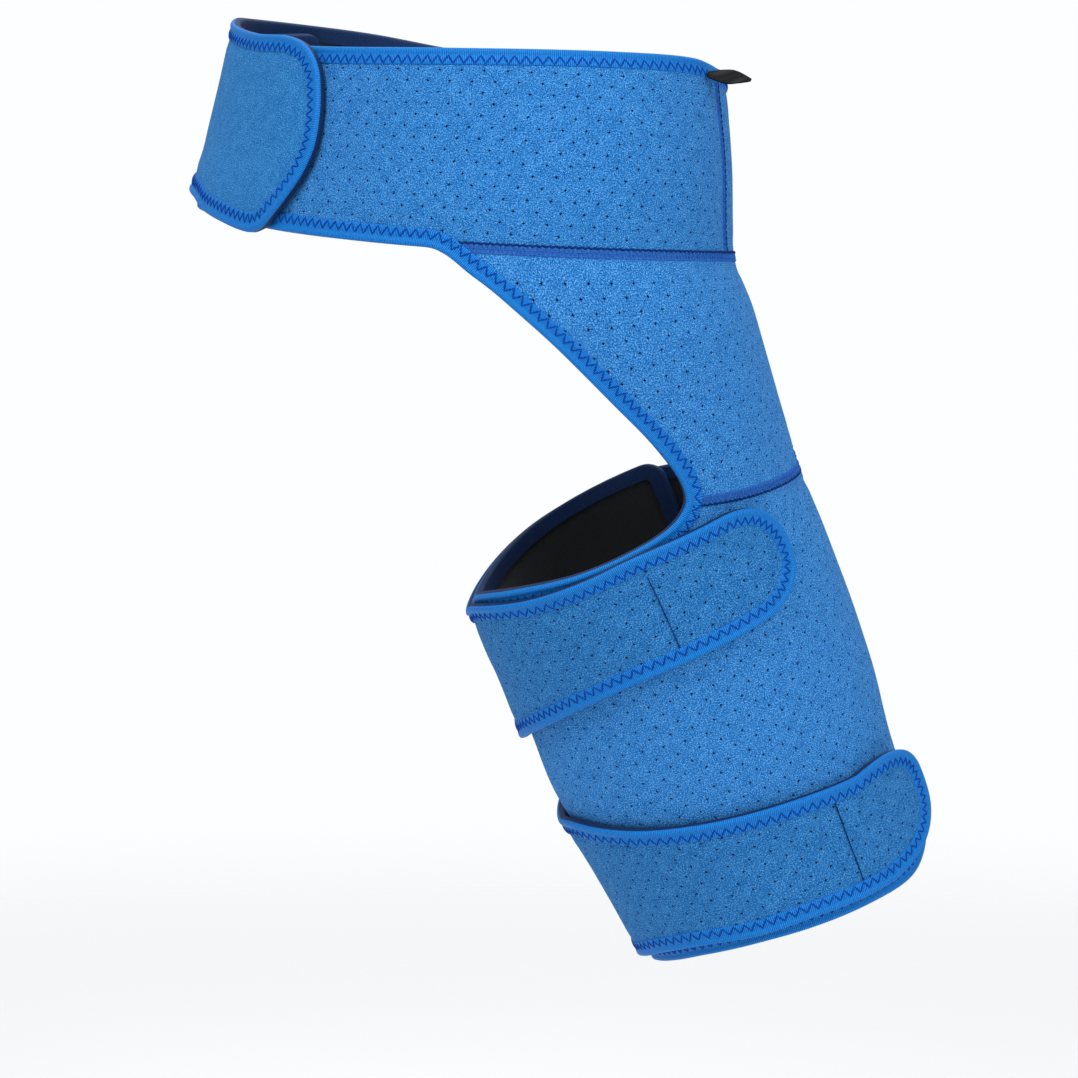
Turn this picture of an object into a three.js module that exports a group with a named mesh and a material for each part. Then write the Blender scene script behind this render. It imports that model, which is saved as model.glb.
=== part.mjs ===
// A hip and groin support in the form it has when worn on the right leg: a waist belt, a hip panel
// and a thigh wrap of perforated foam laminate, closed by a flap and two straps with hook patches.
// Millimetres. X points to the wearer's right, Y to the wearer's front and Z up. The origin is the
// centre of the waist opening, halfway down the belt.
import * as THREE from "three";

// Driving dimensions of the body form that the support is wrapped round
const WAIST_HALF_WIDTH = 168.5;
const WAIST_HALF_DEPTH = 120;
const BELT_WIDTH = 100;
const BELT_LEAN = -3; // degrees, front edge lower
const HIP_LENGTH = 115;
const THIGH_LENGTH = 237;
const THIGH_RADIUS = 92;
const THIGH_LEAN = 25; // degrees, the thigh swung forward
const THIGH_SPREAD = 1; // degrees, the thigh swung outward
const THIGH_TOP_SIDE = 73;
const THIGH_TOP_FORWARD = 48;
const THIGH_TOP_DROP = 140; // below the belt's lower edge

// Driving dimensions of the cloth
const FABRIC = 3; // foam laminate
const TAPE = 0.7; // binding tape
const BINDING_WIDTH = 8;
const BINDING_NOSE = 1; // how far the folded tape stands past the fabric's edge
const HOOK = 1.6; // hook patch
const CLEARANCE = 0.3; // between pieces that touch
const SEWN_CLEARANCE = 0.5; // between fabric and the tape or hook patch sewn to it
const TAPE_END = 1; // how far each end of a binding stops short of the next one
const TAPE_STRAIGHT = 1.7; // straight start of a tape that begins at a rounded corner
const CORNER = 9; // rounded corners of the hidden ends

// Where each piece starts and stops round the form, in degrees from the wearer's right side
const BELT_JOIN = 32.5; // vertical seam at the right front
const BELT_BACK_END = -170; // under the flap
const FLAP_START = 178;
const FLAP_HOOK_START = 238;
const BELT_STEP_UP = 150; // the belt starts to climb over its own hidden end
const WRAP_UNDER_END = -224;
const STRAP_START = 150;
const WRAP_STEP_UP = 104;
const STEP_UP_SPAN = 24;
const UPPER_TAB_START = 356.5;
const UPPER_HOOK_START = 331;
const LOWER_TAB_START = 372;
const LOWER_HOOK_START = 360;
const UPPER_TAB_LENGTH = 34;
const LOWER_TAB_LENGTH = 46;
const LOWER_TAB_LIFT = 7; // the lower strap's free tip stands off the thigh

// The folded label at the belt's top right corner, a little behind the vertical seam
const LABEL_AROUND = 25;
const LABEL_LENGTH = 25;
const LABEL_WIDTH = 9;
const LABEL_THICKNESS = 1.2;
const LABEL_DROOP = 18; // degrees below square to the belt
const LABEL_SAG = 1; // how far its tip hangs below a straight line
const LABEL_TURN = 41; // degrees that the leaf is turned about its own length
const LABEL_DOWN = 0.8; // share of the binding's width above its root
const LABEL_PINCH = 0.45; // share of its width that a gathered end keeps

// Mesh steps round the form, in degrees. All layers take the same places, so that their facets
// stay parallel and the clearance between them holds.
const BELT_STEP = 7.5;
const THIGH_STEP = 8;

// The fabric's inner face stands off the form by the folded tape under it, and a second layer
// by the whole of a bound edge.
const FIRST_LAYER = TAPE + SEWN_CLEARANCE;
const BOUND_EDGE = 2 * (TAPE + SEWN_CLEARANCE) + FABRIC;
const SECOND_LAYER = FIRST_LAYER + BOUND_EDGE + 2 * CLEARANCE;

const radians = (degrees) => (degrees * Math.PI) / 180;
const sum = (...shares) => shares.reduce((a, b) => a + b, 0);

// Smooth columns through a short table: the first column is the place, the rest are its values
function smooth(rows) {
  const places = rows.map((row) => row[0]);
  const last = rows.length - 1;
  const slope = (i, column) => {
    const before = Math.max(i - 1, 0);
    const after = Math.min(i + 1, last);
    return (rows[after][column] - rows[before][column]) / (places[after] - places[before]);
  };
  return (place) => {
    let i = 0;
    while (i < last - 1 && place >= places[i + 1]) i++;
    const span = places[i + 1] - places[i];
    const s = (place - places[i]) / span;
    return rows[i].slice(1).map((value, k) => {
      const column = k + 1;
      return sum(
        (1 + 2 * s) * (1 - s) ** 2 * value,
        s * (1 - s) ** 2 * span * slope(i, column),
        s * s * (3 - 2 * s) * rows[i + 1][column],
        s * s * (s - 1) * span * slope(i + 1, column),
      );
    });
  };
}

// A smooth open line through a few [around, down] points
function smoothLine(points, stepsPerSpan = 8) {
  const through = smooth(points.map((point, i) => [i, ...point]));
  const steps = (points.length - 1) * stepsPerSpan;
  return Array.from({ length: steps + 1 }, (_, i) => through(i / stepsPerSpan));
}

// The body form, as sections from the top of the belt down to the hem of the thigh wrap.
// Belt: at and sizes are shares of the belt's width and of the waist's half width and depth.
const beltSections = [
  { at: 0.0, forward: 0.031, width: 0.893, front: 0.949, back: 1.0 },
  { at: 0.5, forward: -0.025, width: 1.0, front: 0.983, back: 1.013 },
  { at: 1.0, forward: -0.055, width: 1.033, front: 1.025, back: 1.065 },
];
// Hip: shares of the way from the belt's lower edge to the top of the thigh, and of the waist
const hipSection = {
  at: 0.435, side: 0.436, forward: 0.36, drop: 0.31, lean: 0.32,
  right: 0.86, left: 0.79, front: 0.86, back: 1.1,
};
// Thigh: shares of the thigh's length and of its radius, on the outer front and the inner back
const thighSections = [
  { at: 0.0, outer: 1.0, inner: 1.0 },
  { at: 0.21, outer: 0.995, inner: 0.945 },
  { at: 0.38, outer: 0.99, inner: 0.952 },
  { at: 0.55, outer: 0.96, inner: 0.96 },
  { at: 0.76, outer: 0.9, inner: 0.875 },
  { at: 1.0, outer: 0.875, inner: 0.814 },
];

const THIGH_TOP = BELT_WIDTH + HIP_LENGTH;
const beltRow = ({ at, forward, width, front, back }) => [
  at * BELT_WIDTH,
  0,
  forward * WAIST_HALF_DEPTH,
  (0.5 - at) * BELT_WIDTH,
  BELT_LEAN,
  width * WAIST_HALF_WIDTH,
  width * WAIST_HALF_WIDTH,
  front * WAIST_HALF_DEPTH,
  back * WAIST_HALF_DEPTH,
];
const beltFoot = beltRow(beltSections.at(-1));
const hipRow = ({ at, side, forward, drop, lean, right, left, front, back }) => [
  BELT_WIDTH + at * HIP_LENGTH,
  side * THIGH_TOP_SIDE,
  beltFoot[2] + forward * (THIGH_TOP_FORWARD - beltFoot[2]),
  beltFoot[3] - drop * THIGH_TOP_DROP,
  BELT_LEAN + lean * (THIGH_LEAN - BELT_LEAN),
  right * WAIST_HALF_WIDTH,
  left * WAIST_HALF_WIDTH,
  front * WAIST_HALF_DEPTH,
  back * WAIST_HALF_DEPTH,
];
const thighRow = ({ at, outer, inner }) => [
  THIGH_TOP + at * THIGH_LENGTH,
  THIGH_TOP_SIDE + at * THIGH_LENGTH * Math.sin(radians(THIGH_SPREAD)),
  THIGH_TOP_FORWARD + at * THIGH_LENGTH * Math.sin(radians(THIGH_LEAN)),
  beltFoot[3] - THIGH_TOP_DROP - at * THIGH_LENGTH * Math.cos(radians(THIGH_LEAN)),
  THIGH_LEAN,
  outer * THIGH_RADIUS,
  inner * THIGH_RADIUS,
  outer * THIGH_RADIUS,
  inner * THIGH_RADIUS,
];
const section = smooth([...beltSections.map(beltRow), hipRow(hipSection), ...thighSections.map(thighRow)]);

function formPoint(around, down) {
  const [x, y, z, lean, right, left, front, back] = section(down);
  const c = Math.cos(radians(around));
  const s = Math.sin(radians(around));
  const sideways = (c > 0 ? right : left) * c;
  const forward = (s > 0 ? front : back) * s;
  return new THREE.Vector3(
    x + sideways,
    y + forward * Math.cos(radians(lean)),
    z + forward * Math.sin(radians(lean)),
  );
}

// The form's point, its directions for one degree round and one millimetre down, and its normal
function formFrame(around, down) {
  const d = 0.5;
  const perDegree = formPoint(around + d, down).sub(formPoint(around - d, down)).divideScalar(2 * d);
  const perDown = formPoint(around, down + d).sub(formPoint(around, down - d)).divideScalar(2 * d);
  const normal = new THREE.Vector3().crossVectors(perDown, perDegree).normalize();
  return { perDegree, perDown, normal };
}

function skin(around, down, height) {
  return formPoint(around, down).addScaledVector(formFrame(around, down).normal, height);
}

// The shift in degrees round and millimetres down that moves a point by a vector along the surface
function surfaceShift({ perDegree, perDown }, vector) {
  const uu = perDegree.dot(perDegree);
  const vv = perDown.dot(perDown);
  const uv = perDegree.dot(perDown);
  const a = perDegree.dot(vector);
  const b = perDown.dot(vector);
  const scale = 1 / (uu * vv - uv * uv);
  return [(a * vv - b * uv) * scale, (b * uu - a * uv) * scale];
}

// Lines on the form

const between = (a, b, share) => a + (b - a) * share;

// Places round the form: the two ends, and the whole multiples of the step between them
function placesRound(from, to, step) {
  const low = Math.min(from, to);
  const high = Math.max(from, to);
  const places = [low];
  for (let at = Math.ceil(low / step) * step; at < high - step / 4; at += step)
    if (at > low + step / 4) places.push(at);
  places.push(high);
  return from < to ? places : places.reverse();
}

const alongEdge = (edge, from, to, step) =>
  placesRound(from, to, step).map((around) => [around, edge(around)]);

const straight = (a, b, count) =>
  Array.from({ length: count + 1 }, (_, i) => [
    between(a[0], b[0], i / count),
    between(a[1], b[1], i / count),
  ]);

// The same line with its points evenly spaced along the surface
function evenly(line, count) {
  const total = [0];
  for (let i = 1; i < line.length; i++) {
    const step = formPoint(...line[i]).distanceTo(formPoint(...line[i - 1]));
    total.push(total[i - 1] + step);
  }
  return Array.from({ length: count + 1 }, (_, k) => {
    const length = (total.at(-1) * k) / count;
    let i = 1;
    while (i < line.length - 1 && total[i] < length) i++;
    const share = (length - total[i - 1]) / (total[i] - total[i - 1]);
    return [between(line[i - 1][0], line[i][0], share), between(line[i - 1][1], line[i][1], share)];
  });
}

// Degrees round the form that make a length in millimetres at a place
const degreesFor = (length, around, down) => length / formFrame(around, down).perDegree.length();

// Columns of a sheet: each has its place round the form, its top and bottom, and how far in
// degrees its middle stands out past them
const column = (around, top, bottom, bulge = 0) => ({ around, top, bottom, bulge });

const columnsBetween = (topEdge, bottomEdge, from, to, step) =>
  placesRound(from, to, step).map((around) => column(around, topEdge(around), bottomEdge(around)));

// Two rounded corners, from the end inward. Direction is the way round that the sheet ends.
function cornerColumns(topEdge, bottomEdge, end, direction) {
  const middle = (topEdge(end) + bottomEdge(end)) / 2;
  const reach = direction * degreesFor(CORNER, end, middle);
  return [0, 20, 45, 70, 90].map((degrees) => {
    const around = end - reach * (1 - Math.cos(radians(degrees)));
    const drop = CORNER * (1 - Math.sin(radians(degrees)));
    return column(around, topEdge(around) + drop, bottomEdge(around) - drop);
  });
}

// The rounded end of a strap: half a superellipse, from where it starts to its tip
function tabColumns(topEdge, bottomEdge, start, length, squareness) {
  const top = topEdge(start);
  const bottom = bottomEdge(start);
  const reach = degreesFor(length, start, (top + bottom) / 2);
  const power = 2 / squareness;
  return [75, 60, 46, 33, 22, 13].map((degrees, i, all) => {
    const out = Math.cos(radians(degrees)) ** power;
    const half = (Math.sin(radians(degrees)) ** power * (bottom - top)) / 2;
    const middle = (top + bottom) / 2;
    const bulge = i === all.length - 1 ? reach * (1 - out) : 0;
    return column(start + reach * out, middle - half, middle + half, bulge);
  });
}

const rowPlace = ({ around, top, bottom, bulge }, share) => [
  around + bulge * (1 - (2 * share - 1) ** 2),
  between(top, bottom, share),
];

// Solids

function mesh(name, vertices, triangles, material) {
  const signed = triangles.reduce(
    (volume, [a, b, c]) => volume + vertices[a].dot(vertices[b].clone().cross(vertices[c])),
    0,
  );
  const turned = signed < 0 ? triangles.map(([a, b, c]) => [a, c, b]) : triangles;
  const geometry = new THREE.BufferGeometry();
  geometry.setAttribute(
    "position",
    new THREE.Float32BufferAttribute(vertices.flatMap((v) => [v.x, v.y, v.z]), 3),
  );
  geometry.setIndex(turned.flat());
  geometry.computeVertexNormals();
  const made = new THREE.Mesh(geometry, material);
  made.name = name;
  return made;
}

const quad = (a, b, c, d) => [[a, b, c], [a, c, d]];

// A sheet of fabric on the form from a grid of places: rows from the top down, each from its
// start to its end
function sheet(name, { grid, inner, thickness, material }) {
  const rows = grid.length - 1;
  const columns = grid[0].length - 1;
  const vertices = [0, thickness].flatMap((depth) =>
    grid.flatMap((row) => row.map(([around, down]) => skin(around, down, inner(around, down) + depth))),
  );
  const layer = (columns + 1) * (rows + 1);
  const at = (i, j, side) => side * layer + j * (columns + 1) + i;
  const triangles = [];
  for (let j = 0; j < rows; j++)
    for (let i = 0; i < columns; i++) {
      const [a, b, c, d] = [at(i, j, 0), at(i + 1, j, 0), at(i + 1, j + 1, 0), at(i, j + 1, 0)];
      // The shorter diagonal lies closer to the curved form
      const short = vertices[a].distanceTo(vertices[c]) < vertices[b].distanceTo(vertices[d]);
      const faces = short ? quad(a, b, c, d) : quad(b, c, d, a);
      triangles.push(...faces.map((face) => face.map((k) => k + layer)));
      triangles.push(...faces.map((face) => face.toReversed()));
    }
  for (let i = 0; i < columns; i++) {
    triangles.push(...quad(at(i, 0, 0), at(i + 1, 0, 0), at(i + 1, 0, 1), at(i, 0, 1)));
    triangles.push(...quad(at(i + 1, rows, 0), at(i, rows, 0), at(i, rows, 1), at(i + 1, rows, 1)));
  }
  for (let j = 0; j < rows; j++) {
    triangles.push(...quad(at(0, j + 1, 0), at(0, j, 0), at(0, j, 1), at(0, j + 1, 1)));
    triangles.push(
      ...quad(at(columns, j, 0), at(columns, j + 1, 0), at(columns, j + 1, 1), at(columns, j, 1)),
    );
  }
  return mesh(name, vertices, triangles, material);
}

// A sheet from its columns, with a row at each share of the way down
function columnSheet(name, { columns, shares, ...rest }) {
  const grid = shares.map((share) => columns.map((each) => rowPlace(each, share)));
  return sheet(name, { grid, ...rest });
}

// Tape folded over a fabric edge. The line runs with the fabric on its left, seen from outside
// with down at the bottom.
function binding(name, { line, inner }) {
  const low = -(TAPE + SEWN_CLEARANCE);
  const high = BOUND_EDGE + low;
  const profile = [
    [-BINDING_WIDTH, high],
    [BINDING_NOSE, high],
    [BINDING_NOSE, low],
    [-BINDING_WIDTH, low],
    [-BINDING_WIDTH, low + TAPE],
    [CLEARANCE, low + TAPE],
    [CLEARANCE, high - TAPE],
    [-BINDING_WIDTH, high - TAPE],
  ];
  const points = line.map((place) => formPoint(...place));
  const run = (i) => points[i + 1].clone().sub(points[i]).normalize();
  const last = line.length - 1;
  const vertices = line.flatMap(([around, down], i) => {
    const frame = formFrame(around, down);
    const before = run(Math.max(i - 1, 0));
    const after = run(Math.min(i, last - 1));
    const forward = before.clone().add(after).normalize();
    const mitre = 1 / Math.max(0.8, forward.dot(after));
    const outward = new THREE.Vector3().crossVectors(forward, frame.normal).normalize();
    return profile.map(([out, up]) => {
      const shift = surfaceShift(frame, outward.clone().multiplyScalar(out * mitre));
      const place = [around + shift[0], down + shift[1]];
      return skin(...place, inner(...place) + up);
    });
  });
  const n = profile.length;
  const triangles = [];
  for (let i = 0; i < last; i++)
    for (let k = 0; k < n; k++) {
      const next = (k + 1) % n;
      triangles.push(...quad(i * n + k, i * n + next, (i + 1) * n + next, (i + 1) * n + k));
    }
  const end = last * n;
  for (const [a, b, c, d] of [[0, 1, 6, 7], [1, 2, 5, 6], [2, 3, 4, 5]]) {
    triangles.push(...quad(d, c, b, a));
    triangles.push(...quad(end + a, end + b, end + c, end + d));
  }
  return mesh(name, vertices, triangles, bindingTape);
}

// How high the inner face of each layer stands off the form

const easeIn = (around, start) => {
  const s = Math.min(1, Math.max(0, (around - start) / STEP_UP_SPAN));
  return s * s * (3 - 2 * s);
};
const firstLayer = () => FIRST_LAYER;
const secondLayer = () => SECOND_LAYER;
const beltLayer = (around) => between(FIRST_LAYER, SECOND_LAYER, easeIn(around, BELT_STEP_UP));
const wrapLayer = (around) => between(FIRST_LAYER, SECOND_LAYER, easeIn(around, WRAP_STEP_UP));
const frontLayer = (around, down) =>
  (down < BELT_WIDTH + HIP_LENGTH / 2 ? beltLayer : wrapLayer)(around);
const lowerTabLayer = (around) => {
  const past = Math.max(0, around - LOWER_TAB_START);
  const s = past / degreesFor(LOWER_TAB_LENGTH, LOWER_TAB_START, THIGH_TOP + THIGH_LENGTH);
  return SECOND_LAYER + LOWER_TAB_LIFT * s * s;
};

// Edges, as [around, down] rows. Down is a share of the belt's width on the belt, and on the hip
// and thigh a share of the hip's or thigh's length.
const onBelt = (rows) => {
  const edge = smooth(rows.map(([around, share]) => [around, share * BELT_WIDTH]));
  return (around) => edge(around)[0];
};
const onThigh = (rows) => {
  const edge = smooth(rows.map(([around, share]) => [around, THIGH_TOP + share * THIGH_LENGTH]));
  return (around) => edge(around)[0];
};
const onHip = (rows) =>
  smoothLine(rows.map(([around, share]) => [around, BELT_WIDTH + share * HIP_LENGTH]));

const beltBackTop = onBelt([
  [-170, -0.13], [-120, -0.06], [-80, 0.0], [-45, 0.0], [-5, -0.015], [20, -0.015], [33, 0.02],
]);
const beltBackBottom = onBelt([
  [-170, 0.81], [-120, 0.86], [-80, 0.945], [-58, 0.975], [-44, 0.985], [33, 0.985],
]);
const beltFrontTop = onBelt([
  [32, 0.02], [60, 0.05], [90, 0.04], [135, -0.05], [180, -0.15], [225, -0.165], [241, -0.12],
  [264, -0.055], [276, -0.045],
]);
const beltFrontBottom = onBelt([
  [32, 0.985], [88, 0.985], [135, 0.91], [180, 0.8], [225, 0.77], [245, 0.81], [254, 0.87],
  [264, 0.92], [272, 0.955], [276, 0.955],
]);
// The flap's free end, from where its edges start to round off to the end itself
const flapEnd = [
  { around: 277.5, top: -0.035, bottom: 0.93 },
  { around: 280.5, top: -0.015, bottom: 0.865 },
  { around: 283, top: 0.02, bottom: 0.79 },
  { around: 285.2, top: 0.08, bottom: 0.69 },
  { around: 286.5, top: 0.14, bottom: 0.58 },
];
const FLAP_END_BULGE = 1; // degrees

const hipRearEdge = onHip([
  [-44.5, -0.01], [-41.5, 0.03], [-38.6, 0.095], [-35, 0.17], [-30, 0.31], [-24.5, 0.455],
  [-19, 0.58], [-13.5, 0.69], [-9.8, 0.78], [-8.6, 0.83], [-8.6, 0.878],
]);
const hipFrontEdge = onHip([
  [88, -0.01], [83, 0.04], [79, 0.14], [74.5, 0.31], [71.5, 0.5], [69.5, 0.7], [68.5, 0.88],
  [68.5, 1.02], [68.5, 1.122],
]);
const seamRear = hipRearEdge.at(-1);
const seamFront = hipFrontEdge.at(-1);

const wrapTopRear = onThigh([
  [-225, 0.03], [-180, 0.04], [-140, 0.055], [-117, 0.043], [-98, 0.006], [-73, -0.01],
  [-46, -0.015], [-25, -0.026], [-17, -0.034], [-12, -0.045], [-8.6, -0.06],
]);
const wrapTopFront = onThigh([
  [68.5, 0.063], [71.5, 0.075], [77, 0.087], [90, 0.095], [120, 0.07], [150, 0.035], [155, 0.034],
]);
const hem = onThigh([
  [-225, 0.985], [-180, 1.0], [-140, 1.025], [-117, 1.025], [-101, 1.002], [-82, 0.975],
  [-67, 0.958], [-44, 0.95], [-23, 0.957], [0, 0.972], [26, 0.993], [45, 0.984], [90, 0.98],
  [155, 0.985],
]);
const upperStrapTop = onThigh([
  [148, 0.035], [180, 0.04], [220, 0.064], [243, 0.052], [262, 0.014], [298, -0.002],
  [314, -0.01], [330, -0.02], [357, -0.021],
]);
const upperStrapBottom = onThigh([
  [148, 0.35], [200, 0.385], [220, 0.405], [243, 0.405], [258, 0.368], [275, 0.325],
  [293, 0.282], [313, 0.248], [330, 0.236], [357, 0.23],
]);
const lowerStrapTop = onThigh([
  [148, 0.565], [200, 0.6], [220, 0.617], [243, 0.617], [262, 0.588], [275, 0.587],
  [295, 0.6], [315, 0.615], [339, 0.638], [353, 0.655], [369, 0.678], [373, 0.683],
]);
const lowerStrapBottom = onThigh([
  [148, 0.985], [180, 0.985], [220, 1.003], [243, 1.0], [260, 0.97], [278, 0.935],
  [298, 0.916], [318, 0.92], [338, 0.924], [362, 0.944], [373, 0.952],
]);

// Materials

const cloth = (color, roughness) => new THREE.MeshStandardMaterial({ color, roughness, metalness: 0 });
const perforatedFabric = cloth(0x3578bc, 0.95);
const plainFabric = cloth(0x357cc1, 0.92);
const bindingTape = cloth(0x1c72d2, 0.8);
const hookTape = cloth(0x16181c, 0.85);
const labelSatin = cloth(0x1c1e22, 0.6);

// Pieces

const support = new THREE.Group();
const half = CLEARANCE / 2;
const joinGap = degreesFor(half, BELT_JOIN, BELT_WIDTH / 2);
const strapGap = degreesFor(CLEARANCE, STRAP_START, THIGH_TOP + THIGH_LENGTH / 2);
const topsOf = (columns) => columns.map(({ around, top }) => [around, top]);
const bottomsOf = (columns) => columns.map(({ around, bottom }) => [around, bottom]);
const endOf = (column, shares) => shares.slice(1, -1).map((share) => rowPlace(column, share));

// Rows of a sheet, as shares of its width. The outer ones lie under the binding.
const beltRows = [0, 0.09, 0.36, 0.64, 0.91, 1];
const wrapRows = [0, 0.04, 0.1, 0.22, 0.36, 0.545, 0.75, 0.96, 1];
const strapRows = [0, 0.14, 0.5, 0.86, 1];

// Belt back: from its end under the flap, round the back and the right side to the vertical seam
const backEnd = cornerColumns(beltBackTop, beltBackBottom, BELT_BACK_END, -1);
const backColumns = [
  ...backEnd,
  ...columnsBetween(
    beltBackTop, beltBackBottom, backEnd.at(-1).around, BELT_JOIN - joinGap, BELT_STEP,
  ).slice(1),
];
support.add(
  columnSheet("belt_back", {
    columns: backColumns,
    shares: beltRows,
    inner: firstLayer,
    thickness: FABRIC,
    material: perforatedFabric,
  }),
);

// Belt front: from the vertical seam round the belly to the left side, climbing to the second layer
support.add(
  columnSheet("belt_front", {
    columns: columnsBetween(
      beltFrontTop, beltFrontBottom, BELT_JOIN + joinGap, FLAP_START - joinGap, BELT_STEP,
    ),
    shares: beltRows,
    inner: beltLayer,
    thickness: FABRIC,
    material: perforatedFabric,
  }),
);

// Closure flap: the belt's plain end, over the back panel
const flapColumns = [
  ...columnsBetween(
    beltFrontTop, beltFrontBottom, FLAP_START + joinGap, flapEnd[0].around - 3, BELT_STEP,
  ),
  ...flapEnd.map(({ around, top, bottom }, i) =>
    column(
      around, top * BELT_WIDTH, bottom * BELT_WIDTH, i === flapEnd.length - 1 ? FLAP_END_BULGE : 0,
    ),
  ),
];
support.add(
  columnSheet("closure_flap", {
    columns: flapColumns,
    shares: beltRows,
    inner: secondLayer,
    thickness: FABRIC,
    material: plainFabric,
  }),
);

// Hip panel: hangs from the belt's lower edge and narrows to the thigh seam
const beltBottom = (around) =>
  around < BELT_JOIN ? beltBackBottom(around) : beltFrontBottom(around);
const hipRows = 9;
const hipColumns = 20;
const hipRear = evenly(hipRearEdge, hipRows);
const hipFront = evenly(hipFrontEdge, hipRows);
support.add(
  sheet("hip_panel", {
    grid: hipRear.map((rear, j) =>
      straight(rear, hipFront[j], hipColumns).map(([around, down]) => {
        const atSeam = j === 0 ? beltBottom(around) + CLEARANCE : down;
        return [around, atSeam];
      }),
    ),
    inner: firstLayer,
    thickness: FABRIC,
    material: perforatedFabric,
  }),
);

// Thigh wrap: from its end on the inner thigh, round the back, side and front, to where the
// straps are sewn on, by then lying over its own hidden end
const seamAt = (around) =>
  between(
    seamRear[1], seamFront[1], (around - seamRear[0]) / (seamFront[0] - seamRear[0]),
  ) + CLEARANCE;
const wrapTop = (around) => {
  if (around < seamRear[0]) return wrapTopRear(around);
  return around < seamFront[0] ? seamAt(around) : wrapTopFront(around);
};
const wrapEnd = cornerColumns(wrapTop, hem, WRAP_UNDER_END, -1);
const wrapRearColumns = columnsBetween(
  wrapTop, hem, wrapEnd.at(-1).around, seamRear[0] - 3.5, THIGH_STEP,
).slice(1);
const wrapSeamColumns = columnsBetween(wrapTop, hem, seamRear[0], seamFront[0], THIGH_STEP);
const wrapFrontColumns = columnsBetween(wrapTop, hem, seamFront[0], STRAP_START, THIGH_STEP);
support.add(
  columnSheet("thigh_wrap", {
    columns: [...wrapEnd, ...wrapRearColumns, ...wrapSeamColumns, ...wrapFrontColumns.slice(1)],
    shares: wrapRows,
    inner: wrapLayer,
    thickness: FABRIC,
    material: perforatedFabric,
  }),
);

// A line with its two ends pulled back a little, so that two tapes in a row stay clear
function pulledIn(line) {
  const pull = ([end, next]) => {
    const length = formPoint(...end).distanceTo(formPoint(...next));
    return [0, 1].map((k) => between(end[k], next[k], TAPE_END / length));
  };
  return [pull(line), ...line.slice(1, -1), pull(line.slice(-2).reverse())];
}

// Straps: sewn to the wrap's end, they close round the back of the thigh
function strap(name, { topEdge, bottomEdge, tabStart, tabLength, squareness, inner }) {
  const start = STRAP_START + strapGap;
  const columns = [
    ...columnsBetween(topEdge, bottomEdge, start, tabStart, THIGH_STEP),
    ...tabColumns(topEdge, bottomEdge, tabStart, tabLength, squareness),
  ];
  const tip = endOf(columns.at(-1), strapRows).reverse();
  return [
    columnSheet(name, {
      columns,
      shares: strapRows,
      inner,
      thickness: FABRIC,
      material: perforatedFabric,
    }),
    binding(name + "_binding", {
      line: pulledIn([...bottomsOf(columns), ...tip, ...topsOf(columns).reverse()]),
      inner,
    }),
  ];
}
support.add(
  ...strap("upper_strap", {
    topEdge: upperStrapTop,
    bottomEdge: upperStrapBottom,
    tabStart: UPPER_TAB_START,
    tabLength: UPPER_TAB_LENGTH,
    squareness: 2.3,
    inner: secondLayer,
  }),
  ...strap("lower_strap", {
    topEdge: lowerStrapTop,
    bottomEdge: lowerStrapBottom,
    tabStart: LOWER_TAB_START,
    tabLength: LOWER_TAB_LENGTH,
    squareness: 2.6,
    inner: lowerTabLayer,
  }),
);

// Hook patches, sewn under the flap and the strap tabs, clear of the bindings of both layers.
// Their rows lie under those of the fabric.
function hookPatch(name, { topEdge, bottomEdge, fabric, from, to, step, inner }) {
  const inset = BINDING_WIDTH + 3 * CLEARANCE;
  const places = placesRound(from, to, step);
  const rows = [
    (around) => topEdge(around) + inset,
    ...fabric.rows.slice(2, -2).map(
      (share) => (around) => between(fabric.topEdge(around), fabric.bottomEdge(around), share),
    ),
    (around) => bottomEdge(around) - inset,
  ];
  return sheet(name, {
    grid: rows.map((row) => places.map((around) => [around, row(around)])),
    inner: (around) => inner(around) - SEWN_CLEARANCE - HOOK,
    thickness: HOOK,
    material: hookTape,
  });
}
support.add(
  hookPatch("flap_hook", {
    topEdge: (around) => Math.max(beltBackTop(around - 360), beltFrontTop(around)),
    bottomEdge: (around) => Math.min(beltBackBottom(around - 360), beltFrontBottom(around)),
    fabric: { topEdge: beltFrontTop, bottomEdge: beltFrontBottom, rows: beltRows },
    from: FLAP_HOOK_START,
    to: flapEnd[0].around - 3,
    step: BELT_STEP,
    inner: secondLayer,
  }),
  hookPatch("upper_strap_hook", {
    topEdge: upperStrapTop,
    bottomEdge: upperStrapBottom,
    fabric: { topEdge: upperStrapTop, bottomEdge: upperStrapBottom, rows: strapRows },
    from: UPPER_HOOK_START,
    to: UPPER_TAB_START,
    step: THIGH_STEP,
    inner: secondLayer,
  }),
  hookPatch("lower_strap_hook", {
    topEdge: lowerStrapTop,
    bottomEdge: lowerStrapBottom,
    fabric: { topEdge: lowerStrapTop, bottomEdge: lowerStrapBottom, rows: strapRows },
    from: LOWER_HOOK_START,
    to: LOWER_TAB_START,
    step: THIGH_STEP,
    inner: lowerTabLayer,
  }),
);

// Bindings: folded tape round the free edges
const cornerAt = backEnd.length - 1;
const backTops = topsOf(backColumns);
const backBottoms = bottomsOf(backColumns);
const wrapTops = topsOf([...wrapEnd, ...wrapRearColumns]);
const forkHigh = upperStrapBottom(STRAP_START) + 3 * BINDING_NOSE;
const forkLow = lowerStrapTop(STRAP_START) - 3 * BINDING_NOSE;
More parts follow.
